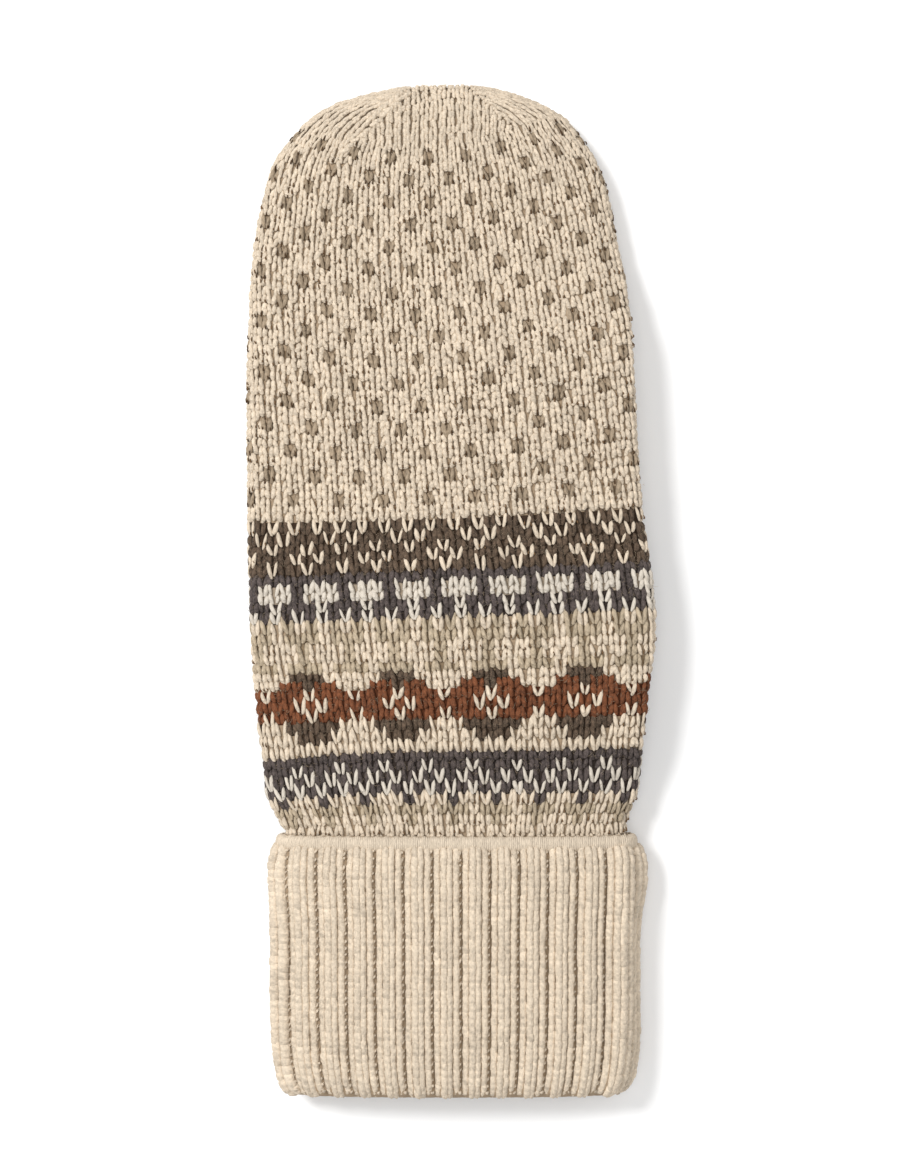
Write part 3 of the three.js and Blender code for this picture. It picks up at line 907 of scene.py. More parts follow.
def body_stitches(tube):
    """Every stitch from the cuff to the crown: its frame, height, style and yarn."""
    repeats, places = chart_rows()
    dot_height = bpy.context.scene.mitten_knitting.dot_height / MM
    keys = ("place", "across", "up", "outward", "width", "length", "style", "yarn", "palm")
    sets = {key: [] for key in keys}
    columns = np.arange(COLUMNS)
    for index, repeat in enumerate(repeats):
        row_y = places[index]
        rise = places[index + 1] - row_y
        plain = rise == PLAIN_ROW
        place, across, up, outward, width, share = knit_frames(
            tube, np.full(COLUMNS, row_y), columns
        )
        in_repeat = columns % len(repeat)
        yarn = np.array(list(repeat))[in_repeat]
        style = np.array(row_styles(repeat, plain))[in_repeat]
        # Legs reach past their row, and further where a dot spans two rows.
        reach = np.full(COLUMNS, 1.85 * rise if plain else 1.42 * rise)
        reach = np.where(yarn == "k", dot_height, np.maximum(reach, 3.2))
        # A light stitch under a dark one shows its heads, which point up into the dark row.
        dark = np.isin(yarn, list(DARK_YARNS))
        over = repeats[min(index + 1, len(repeats) - 1)]
        edge = ~dark & np.isin(np.array(list(over))[columns % len(over)], list(DARK_YARNS))
        reach = np.where(edge, reach * 1.16, reach)
        style = np.where((edge & (style[:, 3] < UNDER_DARK[3]))[:, None], UNDER_DARK, style)
        below = repeats[index - 1] if index else repeat
        over_dot = np.array(list(below))[columns % len(below)] == "k"
        place = place + up * (over_dot * OVER_DOT)[:, None]
        reach = reach - over_dot * OVER_DOT * 0.7
        y, _ = knit_spot(tube, np.full(COLUMNS, row_y), columns)
        row = (place, across, up, outward, width, reach, style, yarn, on_palm(tube, y, share))
        for key, value in zip(keys, row):
            sets[key].append(value)
    return {key: np.concatenate(value) for key, value in sets.items()}


# Crown: on each side a line of decreases runs from where the crown starts to its top.
RIDGE_START = (-27.9, 113.6)
RIDGE_TOP = (-10.8, 129.7)
RIDGE_MIDDLE = -2.2
CROWN_ROW = 2.0
CROWN_LEG = 3.2


def ridge_x(y_world, side):
    """x of a decrease line at a height; side is -1 on the left and 1 on the right."""
    t = (y_world - RIDGE_START[1]) / (RIDGE_TOP[1] - RIDGE_START[1])
    left = RIDGE_START[0] + (RIDGE_TOP[0] - RIDGE_START[0]) * np.clip(t, -1.0, 1.2)
    return left if side < 0 else 2 * RIDGE_MIDDLE - left


def crown_path(tube, y, share):
    """Points of one column over the crown, until it meets a decrease line or the top."""
    right, left = (float(v) for v in tube.fold_shares(y))
    start = tube.at(y, share)
    back = share <= right or share >= left
    gap_right = (share - right + 0.5) % 1 - 0.5
    gap_left = (share - left + 0.5) % 1 - 0.5
    side = 0
    if start[0] < ridge_x(start[1], -1):
        side, distance = -1, gap_left * tube.girth_at(y)
    elif start[0] > ridge_x(start[1], 1):
        side, distance = 1, gap_right * tube.girth_at(y)
    path = [start]
    for station in np.linspace(y, tube.stations[-1] - 0.05, 220)[1:]:
        right, left = (float(v) for v in tube.fold_shares(station))
        if side == 0:
            row = tube.grid[int(round(float(tube.station_index(station))))]
            ends = (left - 1, right) if back else (right, left)
            options = np.linspace(*ends, 240)
            xs = np.interp(options % 1, np.linspace(0, 1, tube.SHARES + 1), row[:, 0])
            if start[0] <= xs.min() + 0.3 or start[0] >= xs.max() - 0.3:
                break
            if not back:
                options, xs = options[::-1], xs[::-1]
            here = float(np.interp(start[0], xs, options))
        else:
            fold = left if side < 0 else right
            here = fold + distance / tube.girth_at(station)
        point = tube.at(station, here)
        if side == 0 and not ridge_x(point[1], -1) < start[0] < ridge_x(point[1], 1):
            break
        if side < 0 and point[0] > ridge_x(point[1], -1):
            break
        if side > 0 and point[0] < ridge_x(point[1], 1):
            break
        path.append(point)
    return np.array(path), back


def crown_stitches(tube):
    """Stitches over the crown, marched up each column, and the raised line of decreases."""
    _, places = chart_rows()
    start_row = places[-1]
    keys = ("place", "across", "up", "outward", "width", "length", "style", "palm")
    found = {key: [] for key in keys}

    def add(path, outward_hint, width, back, style):
        run = path_run(path)
        for distance in np.arange(0, run[-1] - 0.2, CROWN_ROW):
            # A leg's head lies on the path too, so that none stands off the top edge.
            spot = on_path(distance, run, path)
            head = on_path(distance + CROWN_LEG, run, path)
            if np.linalg.norm(head - spot) < 0.8:
                continue
            up = unit(head - spot)
            outward = unit(outward_hint(spot) - up * np.dot(up, outward_hint(spot)))
            found["length"].append(np.linalg.norm(head - spot))
            found["style"].append(style)
            found["place"].append(spot)
            found["up"].append(up)
            found["outward"].append(outward)
            found["across"].append(unit(np.cross(up, outward)))
            found["width"].append(width)
            found["palm"].append(not back)

    columns = np.arange(COLUMNS)
    y, share = knit_spot(tube, np.full(COLUMNS, start_row), columns)
    _, _, _, _, width, _ = knit_frames(tube, np.full(COLUMNS, start_row), columns)
    flat = tube.grid[:, :-1:6].reshape(-1, 3)
    ahead = np.roll(tube.grid[:, :-1], -3, axis=1) - np.roll(tube.grid[:, :-1], 3, axis=1)
    along = np.gradient(tube.grid[:, :-1], axis=0)
    normals = unit(np.cross(ahead, along))[:, ::6].reshape(-1, 3)

    def outward_at(spot):
        return normals[np.argmin(((flat - spot) ** 2).sum(axis=1))]

    for column in columns:
        path, back = crown_path(tube, float(y[column]), float(share[column] % 1))
        if len(path) > 3:
            add(path, outward_at, float(width[column]), back, CROWN)
    # The decrease line that stands up on the back's left side.
    line = []
    for t in np.linspace(-0.05, 1.0, 60):
        x = RIDGE_START[0] + (RIDGE_TOP[0] - RIDGE_START[0]) * t
        y_world = RIDGE_START[1] + (RIDGE_TOP[1] - RIDGE_START[1]) * t
        near = tube.grid[tube.grid[..., 2] > 9.0]
        spot = near[np.argmin((near[:, 0] - x) ** 2 + (near[:, 1] - y_world) ** 2)]
        line.append((x, y_world, spot[2]))
    line = np.array(line)
    line[:, 2] = np.convolve(np.pad(line[:, 2], 4, mode="edge"), np.ones(9) / 9, mode="valid")
    add(line, outward_at, 2.9, True, RIDGE)
    result = {key: np.array(value) for key, value in found.items()}
    result["yarn"] = np.full(len(result["place"]), "o")
    return result


def thumb_hole_cells(points):
    """Which of the hand's grid cells lie in the hole under the thumb's root."""
    x, y, z = points[..., 0], points[..., 1], points[..., 2]
    crotch = CUFF_EDGE_Y + CROTCH_ABOVE_CUFF
    across = np.abs((x - THUMB_X) / (THUMB_WIDTH / 2 - KNIT))
    along = np.abs((y - crotch + THUMB_OPENING / 2) / (THUMB_OPENING / 2 - KNIT))
    return (across**3 + along**3 < 1) & (z < THUMB_THICKNESS + KNIT + 1.5)


def wall_repeat(repeat):
    """Yarns behind a row's stitches: a dark yarn runs on behind a light stitch beside it."""
    behind = ""
    for index, letter in enumerate(repeat):
        before, after = repeat[index - 1], repeat[(index + 1) % len(repeat)]
        if before in DARK_YARNS and after in DARK_YARNS and letter not in DARK_YARNS:
            letter = before
        behind += letter
    return behind


def hand_skin(outer, inner, made):
    """The knitted wall behind the stitches: outside, inside, wrist rim and thumb hole."""
    repeats, places = chart_rows()
    around = 2 * COLUMNS
    columns = np.arange(around) / 2 - 0.5
    rings_out, rings_in = [], []
    for y in places:
        spot = knit_spot(outer, np.full(around, y), columns)
        rings_out.append(outer.at(*spot))
        rings_in.append(inner.at(*spot))
    last_y, last_share = knit_spot(outer, np.full(around, places[-1]), columns)
    top = outer.stations[-1] - 0.01
    for t in np.linspace(0, 1, 15)[1:]:
        station = last_y + (top - last_y) * math.sin(t * math.pi / 2)
        rings_out.append(outer.at(station, last_share))
        rings_in.append(inner.at(station, last_share))
    # The wall goes on down inside the cuff, where its first rows are hidden.
    for y in (-4.5, -6.0, -SEAM_DEPTH + 0.05):
        share = (columns - COLUMN_AT_CUFF - COLUMN_LEAN * y) / COLUMNS
        rings_out.insert(0, outer.at(np.full(around, y), share))
        rings_in.insert(0, inner.at(np.full(around, y), share))
    extra_rows = 3
    outside, inside = np.array(rings_out), np.array(rings_in)
    rows = len(outside)
    middle = (outside[:-1] + outside[1:]) / 2
    middle = (middle + np.roll(middle, -1, axis=1)) / 2
    hole = thumb_hole_cells(middle)
    letters = np.full((rows - 1, around), "o")
    for index, repeat in enumerate(repeats):
        behind = wall_repeat(repeat)
        cells = [behind[(cell // 2) % len(behind)] for cell in range(around)]
        letters[extra_rows + index] = cells
    slots = {letter: index for index, letter in enumerate(YARNS)}
    faces_out = grid_faces(rows, around, ~hole)
    faces_in = grid_faces(rows, around, ~hole)[:, ::-1] + rows * around
    colour_out = np.vectorize(slots.get)(letters[~hole])
    flat = [faces_out.ravel(), faces_in.ravel()]
    sizes = [np.full(len(faces_out), 4), np.full(len(faces_in), 4)]
    index_of = [colour_out, np.zeros(len(faces_in), dtype=int)]
    rim = []
    shift = rows * around
    for column in range(around):
        after = (column + 1) % around
        rim.append((after, column, column + shift, after + shift))
        top_row = (rows - 1) * around
        rim.append((top_row + column, top_row + after, top_row + after + shift,
                    top_row + column + shift))
    for row, column in zip(*np.nonzero(hole)):
        after = (column + 1) % around
        corner = {
            (-1, 0): (row * around + column, row * around + after),
            (1, 0): ((row + 1) * around + after, (row + 1) * around + column),
            (0, 1): (row * around + after, (row + 1) * around + after),
            (0, -1): ((row + 1) * around + column, row * around + column),
        }
        for (down, side), (first, second) in corner.items():
            if not hole[row + down, (column + side) % around]:
                rim.append((first, second, second + shift, first + shift))
    flat.append(np.array(rim).ravel())
    sizes.append(np.full(len(rim), 4))
    index_of.append(np.zeros(len(rim), dtype=int))
    points = np.concatenate([outside.reshape(-1, 3), inside.reshape(-1, 3)])
    skin = make_mesh(
        "hand_wall", points, (np.concatenate(flat), np.concatenate(sizes)),
        material_of_face=np.concatenate(index_of),
    )
    # Each yarn's knitted back, whose colour is painted shade.
    for letter in YARNS:
        skin.data.materials.append(made[letter + "_wall"])
    return skin


def wall_material(name, shades):
    """The back of the knitting, seen between the stitches and inside the mitten: the same
    wool in short bars across the columns, in the darkened shades that it is given as
    painted shade, because little light reaches it."""
    material, tree = new_material(name)
    place = add_node(tree, "ShaderNodeTexCoord")
    # Bars 2 mm apart along the hand and 3 mm across, as the rows and columns are.
    bars = add_node(
        tree, "ShaderNodeMapping", {"Scale": (330.0, 500.0, 330.0)},
        {"Vector": place.outputs["Object"]},
    )
    bumps = add_node(
        tree, "ShaderNodeTexVoronoi", {"Scale": 1.0, "Randomness": 0.45},
        {"Vector": bars.outputs["Vector"]},
    )
    # Flecks of fibre 0.7 mm across.
    flecks = add_node(
        tree, "ShaderNodeTexNoise", {"Scale": 1500.0, "Detail": 2.0},
        {"Vector": place.outputs["Object"]},
    )
    colour = add_node(
        tree, "ShaderNodeMix", {"data_type": "RGBA", "A": shades[0], "B": shades[1]},
        {"Factor": flecks.outputs["Fac"]},
    )
    bump = add_node(
        tree, "ShaderNodeBump", {"Strength": 0.6, "Distance": 0.0006, "invert": True},
        {"Height": bumps.outputs["Distance"]},
    )
    add_surface(
        tree,
        {"Roughness": 0.95, "IOR": 1.55, "Specular IOR Level": 0.2,
         "Sheen Weight": 0.15, "Sheen Roughness": 0.6, "Sheen Tint": shades[1]},
        {"Base Color": colour.outputs["Result"], "Normal": bump.outputs["Normal"]},
    )
    return material


def wool():
    """The materials of the yarns, and of the knitting's back and the dashes in its gaps, which
    are the yarns in painted shade, made once.
    """
    made = {}
    between = bpy.context.scene.mitten_yarns.painted_shade_between
    for letter, (_, word, heather) in YARNS.items():
        name = f"{word}_spun_wool"
        made[letter] = bpy.data.materials.get(name) or wool_material(
            name, yarn_shades(letter), heather
        )
        # The knitting's back: the yarn darkened and warmed, painted shade.
        name = f"{word}_knitted_back"
        made[letter + "_wall"] = bpy.data.materials.get(name) or wall_material(
            name, yarn_shades(letter, between * WARM_SHADE)
        )
    # Dashes in the gaps: the yarn darkened far more, painted shade for the shadow there.
    for letter in "ok":
        name = f"{YARNS[letter][1]}_painted_gap_shade"
        made[letter + "_deep"] = bpy.data.materials.get(name) or wall_material(
            name, yarn_shades(letter, DEEP_SHADE * WARM_SHADE**3)
        )
    return made


# How deep the stitches' middles and the wall behind them lie, in mm
STITCH_INSET = 0.75
WALL_INSET = 1.35
# The main yarn's stitches are split in two pieces this far above the chart, in mm.
SPLIT_HEIGHT = 24
LIGHT_FIBRES = 2600
DARK_FIBRES = 2000


class MITTEN_OT_hand(bpy.types.Operator):
    """Knits the hand: its wall, its jacquard and its crown"""

    bl_idname = "mitten.hand"
    bl_label = "Knit the hand"

    def execute(self, context):
        rng = np.random.default_rng(11)
        made = wool()
        surface = hand_tube(STITCH_INSET)
        body = body_stitches(surface)
        crown = crown_stitches(surface)
        every = joined([body, crown])
        # The thumb's root covers the palm round its hole.
        place = every["place"]
        crotch = CUFF_EDGE_Y + CROTCH_ABOVE_CUFF
        root = (np.abs(place[:, 0] - THUMB_X) < THUMB_WIDTH / 2 - 0.5) & every["palm"]
        root &= (place[:, 1] < crotch - 0.5) & (place[:, 1] > crotch - THUMB_OPENING - 1.5)
        chart_top = CUFF_EDGE_Y + chart_rows()[1][len(CHART)]
        zones = {"back": ~every["palm"], "palm": every["palm"] & ~root}
        for letter, (_, word, _) in YARNS.items():
            for zone, inside in zones.items():
                here = inside & (every["yarn"] == letter)
                split = {"": here}
                if letter == "o":
                    low = place[:, 1] < chart_top + SPLIT_HEIGHT
                    split = {"_lower": here & low, "_upper": here & ~low}
                for part, chosen in split.items():
                    thing = v_stitches(
                        f"hand_{zone}_{word}{part}", picked(every, chosen), made[letter],
                        6 if zone == "back" else 4, rng,
                    )
                    finish_piece(thing, "hand")
        shown = ~every["palm"]
        dark = np.isin(every["yarn"], list(DARK_YARNS))
        for name, chosen, count, letter in (
            ("hand_fibres_light", ~dark, LIGHT_FIBRES, "o"),
            ("hand_fibres_dark", dark & shown, DARK_FIBRES, "k"),
        ):
            thing = loose_fibres(name, picked(every, chosen), count, made[letter], rng)
            finish_piece(thing, "hand")
        # Dark dashes coloured with painted shade: round the dots on the khaki float yarn, and in
        # the gaps beside some plain stitches, where there is only shade.
        dots = picked(every, (every["yarn"] == "k") & shown)
        thing = yarn_dashes_in_painted_shade("hand_floats_in_painted_shade_at_dots", dots, FLOAT_AND_SHADE_SPOTS, made["k_deep"], rng)
        finish_piece(thing, "hand")
        plain = shown & (every["yarn"] == "o") & (place[:, 1] < RIDGE_START[1] - GAPS_BELOW_CROWN)
        some = rng.choice(np.flatnonzero(plain), GAP_STITCHES, replace=False)
        thing = yarn_dashes_in_painted_shade("hand_painted_shade_in_gaps", picked(every, some), GAP_SPOTS, made["o_deep"], rng)
        finish_piece(thing, "hand")
        wall = hand_skin(hand_tube(WALL_INSET), hand_tube(KNIT), made)
        finish_piece(wall, "hand")
        return {"FINISHED"}


# Length of wall in mm for each radian that the thumb's root swings
ROOT_BEND = 14


def thumb_tube(inset):
    """The thumb's wall at a depth, from the hole's rim (0) round the crotch to the tip."""
    angles = np.linspace(0, 2 * math.pi, 361)
    rings, sizes = [], []
    for swing in np.linspace(0, 90, 19):
        turn = math.radians(swing)
        grown = np.interp(swing, THUMB_ROOT[:, 0], THUMB_ROOT[:, 1])
        reach = THUMB_OPENING + (THUMB_THICKNESS - THUMB_OPENING) * grown
        across, up = pillow_point(THUMB_WIDTH / 2 - inset, reach / 2 - inset, angles)
        away = reach / 2 - up
        rings.append(np.stack([
            across, -away * math.cos(turn), THUMB_THICKNESS - away * math.sin(turn)
        ], axis=-1))
        sizes.append(turn * ROOT_BEND)
    length = THUMB_LENGTH - inset
    for along in 0.98 * np.sin(np.linspace(0.02, 1, 70) * math.pi / 2):
        width, thick = sample_table(THUMB_SECTIONS, np.array([along]))[0, 1:]
        y, reach = along * length, thick * THUMB_THICKNESS
        across, up = pillow_point(
            max(width * THUMB_WIDTH / 2 - inset, 0.3), max(reach / 2 - inset, 0.3), angles
        )
        rings.append(np.stack([
            across + y * THUMB_SLANT, np.full_like(across, y), reach / 2 + up
        ], axis=-1))
        sizes.append(sizes[18] + y)
    for shrink in (0.75, 0.45, 0.15):
        last = rings[88]
        middle = np.array([length * THUMB_SLANT, length, THUMB_THICKNESS * 0.37])
        rings.append(middle + (last - middle) * [shrink, shrink**2, shrink])
        sizes.append(sizes[-1] + 1.0)
    place = np.array([THUMB_X, CUFF_EDGE_Y + CROTCH_ABOVE_CUFF, 0.0])
    return Tube(np.array(sizes), np.array(rings)[:, ::-1] + place)


THUMB_COLUMNS = 26
THUMB_ROW = 2.1


class MITTEN_OT_thumb(bpy.types.Operator):
    """Knits the plain thumb, which lies folded under the palm"""

    bl_idname = "mitten.thumb"
    bl_label = "Knit the thumb"

    def execute(self, context):
        rng = np.random.default_rng(12)
        made = wool()
        surface = thumb_tube(STITCH_INSET)
        rows = np.arange(0.6, surface.stations[-1] - 1.0, THUMB_ROW)
        row, column = np.meshgrid(rows, np.arange(THUMB_COLUMNS), indexing="ij")
        row, share = row.ravel(), column.ravel() / THUMB_COLUMNS
        place = surface.at(row, share)
        half = 0.5 / THUMB_COLUMNS
        right, left = surface.at(row, share + half), surface.at(row, share - half)
        above, below = surface.at(row + 1, share), surface.at(row - 1, share)
        across, up = unit(right - left), unit(above - below)
        outward = unit(np.cross(across, up))
        pitch = np.linalg.norm(above - below, axis=-1) / 2 * THUMB_ROW
        width = np.linalg.norm(right - left, axis=-1)
        knit = {
            "place": place, "across": across, "up": up, "outward": outward, "width": width,
            "length": np.minimum(1.65 * pitch, 3.5), "style": np.tile(PLAIN, (len(row), 1)),
        }
        shown = (pitch > 0.7) & (width > 0.8)
        thing = v_stitches("thumb_stitches", picked(knit, shown), made["o"], 4, rng)
        finish_piece(thing, "thumb")
        wall = tube_wall("thumb_wall", thumb_tube(WALL_INSET), thumb_tube(KNIT), 70, 78)
        # The thumb's wall takes the oat yarn's knitted back, in painted shade.
        wall.data.materials.append(made["o_wall"])
        finish_piece(wall, "thumb")
        return {"FINISHED"}


def tube_wall(name, outer, inner, rows, around):
    """A closed wall between two tubes, open at its start and rounded off at its end."""
    share = np.arange(around) / around
    stations = np.linspace(outer.stations[0], outer.stations[-1], rows)
    outside = np.array([outer.at(np.full(around, s), share) for s in stations])
    inside = np.array([inner.at(np.full(around, s), share) for s in stations])
    faces_out = grid_faces(rows, around)
    shift = rows * around
    faces_in = faces_out[:, ::-1] + shift
    rim = []
    for column in range(around):
        after = (column + 1) % around
        rim.append((after, column, column + shift, after + shift))
    caps = [
        [(rows - 1) * around + column for column in range(around)],
        [shift + (rows - 1) * around + column for column in range(around)][::-1],
    ]
    flat = [faces_out.ravel(), faces_in.ravel(), np.array(rim).ravel(), *map(np.array, caps)]
    sizes = [4] * (len(faces_out) + len(faces_in) + len(rim)) + [around, around]
    points = np.concatenate([outside.reshape(-1, 3), inside.reshape(-1, 3)])
    return make_mesh(name, points, (np.concatenate(flat), np.array(sizes)))


# Cuff: each rib is two columns of stitches, with a purl column sunk in the valley beside them.
# Places and widths are shares of a rib.
CUFF_ROW = 1.88
CUFF_LEG = 4.8
CUFF_WALL_AROUND = 12
RIB_COLUMNS = (0.345, 0.765)
RIB_COLUMN_SHARE = 0.42
RIB_TILT = math.radians(16)
PURL_COLUMN = 0.10
PURL_SHARE = 0.12
# How deep the stitches, the purl bumps and the wall under them lie, and how deep the inside is
# grooved, in mm
RIB_SINK = 0.68
PURL_SINK = 0.85
WALL_SINK = 0.95
INNER_GROOVE = 0.35
CUFF_FIBRES = 1300
# The free edge rolls in, which rounds its corners: how far, and over what height.
EDGE_ROLL = 1.9
EDGE_ROLL_HEIGHT = 5.5
# The rim's section: its middle's y and offset, and half its height and depth
EDGE_SECTION = (-2.0, 1.2, 2.0, 1.45)
EDGE_STEPS = 24
EDGE_ROUND = 14


def cuff_profile():
    """Where the cuff's outside runs, from its free edge round the fold and up its inside:
    y, offset from the hand's section, and how far its ribs are grooved."""
    radius = KNIT + LAYER_GAP / 2
    fold_y = radius - CUFF_HEIGHT
    edge = KNIT / 2
    spots = []
    for turn in np.linspace(-90, 90, 9):
        angle = math.radians(turn)
        spots.append((-edge + edge * math.cos(angle), LAYER_GAP + edge + edge * math.sin(angle),
                      RIB_DEPTH * (0.5 + 0.5 * math.sin(angle))))
    for y in np.linspace(-edge, fold_y, 31)[1:]:
        spots.append((y, LAYER_STACK, RIB_DEPTH))
    for turn in np.linspace(0, 180, 17)[1:]:
        angle = math.radians(turn)
        spots.append((fold_y - radius * math.sin(angle),
                      LAYER_GAP / 2 + radius * math.cos(angle),
                      RIB_DEPTH * max(0.0, math.cos(angle))
                      + INNER_GROOVE * (1 - math.cos(angle)) / 2))
    for y in np.linspace(fold_y, -SEAM_DEPTH - SEAM_GAP, 25)[1:]:
        spots.append((y, -KNIT, INNER_GROOVE))
    return np.array(spots)


def wrist_ring(y):
    """Evenly spaced points of the wrist's section, with outward directions, from the first
    valley over the back to the left."""
    left, right, thickness, under = (float(v) for v in body_section(np.array(y)))
    middle, half = (left + right) / 2, (right - left) / 2
    start = math.acos(((FIRST_VALLEY_X - middle) / half) ** (1 / EDGE_POWER))
    angle = start + np.linspace(0, 2 * math.pi, 1441)
    across, up = pillow_point(half, thickness / 2, angle)
    fine = np.stack([middle + across, under + thickness / 2 + up], axis=-1)
    return fine, path_run(fine)


def wrist_points(y, shares):
    """Points and outward directions of the wrist's section at shares of the way round."""
    fine, run = wrist_ring(y)
    target = (np.asarray(shares) % 1) * run[-1]
    point = on_path(target, run, fine)
    reach = run[-1] * 0.006
    ahead = on_path((target + reach) % run[-1], run, fine)
    behind = on_path((target - reach) % run[-1], run, fine)
    tangent = unit(ahead - behind)
    return point, np.stack([tangent[:, 1], -tangent[:, 0]], axis=-1)


# Half the width of a groove, as a share of a rib
RIB_GROOVE = 0.13


def rib_groove(t):
    """Depth of the groove between two ribs, 1 in the valley, for shares of a rib."""
    away = np.minimum(t % 1, 1 - t % 1)
    return np.clip(1 - away / RIB_GROOVE, 0, 1) ** 0.8


def cuff_surface(spot, shares, depth):
    """Points of the cuff at one place of its profile, sunk by a depth below the outside."""
    y, offset, groove = spot
    point, outward = wrist_points(min(y, 0), shares)
    sunk = rib_groove(np.asarray(shares) * RIB_COUNT) * groove
    outer = np.clip((offset - LAYER_GAP) / KNIT, 0, 1)
    rolled = outer * EDGE_ROLL * max(0.0, 1 + y / EDGE_ROLL_HEIGHT) ** 2
    moved = point + outward * (offset - sunk - rolled - depth)[:, None]
    return np.stack([moved[:, 0], np.full(len(moved), y + CUFF_EDGE_Y), moved[:, 1]], axis=-1)


def rolled_edge(made):
    """The free edge, rolled over into a soft rim with a bump for each column."""
    around = RIB_COUNT * EDGE_STEPS
    share = np.arange(around) / around
    middle_y, middle_offset, half_height, half_depth = EDGE_SECTION
    bumps = 1 + 0.07 * np.cos(2 * math.pi * share * RIB_COUNT * 3)
    turns = 2 * math.pi * np.arange(EDGE_ROUND) / EDGE_ROUND
    rings = []
    for turn in turns:
        rise = half_height * math.sin(turn) * bumps
        depth = -half_depth * math.cos(turn) * bumps
        flat = cuff_surface((middle_y, middle_offset, 0.45), share, depth)
        flat[:, 1] += rise
        rings.append(flat)
    faces = grid_faces(EDGE_ROUND + 1, around)
    last = EDGE_ROUND * around
    corner = np.array([(0, 0), (1, 0), (1, 1), (0, 1)])
    row, column = np.divmod(np.arange(len(faces)), around)
    uvs = (np.stack([row, column], axis=-1)[:, None] + corner[None, :, ::-1]) * [0.08, 0.25]
    faces = np.where(faces >= last, faces - last, faces)
    edge = make_mesh(
        "cuff_rim", np.concatenate(rings), (faces.ravel(), np.full(len(faces), 4)),
        uvs=uvs.reshape(-1, 2), shade=np.zeros(last),
    )
    edge.data.materials.append(made["o"])
    return edge


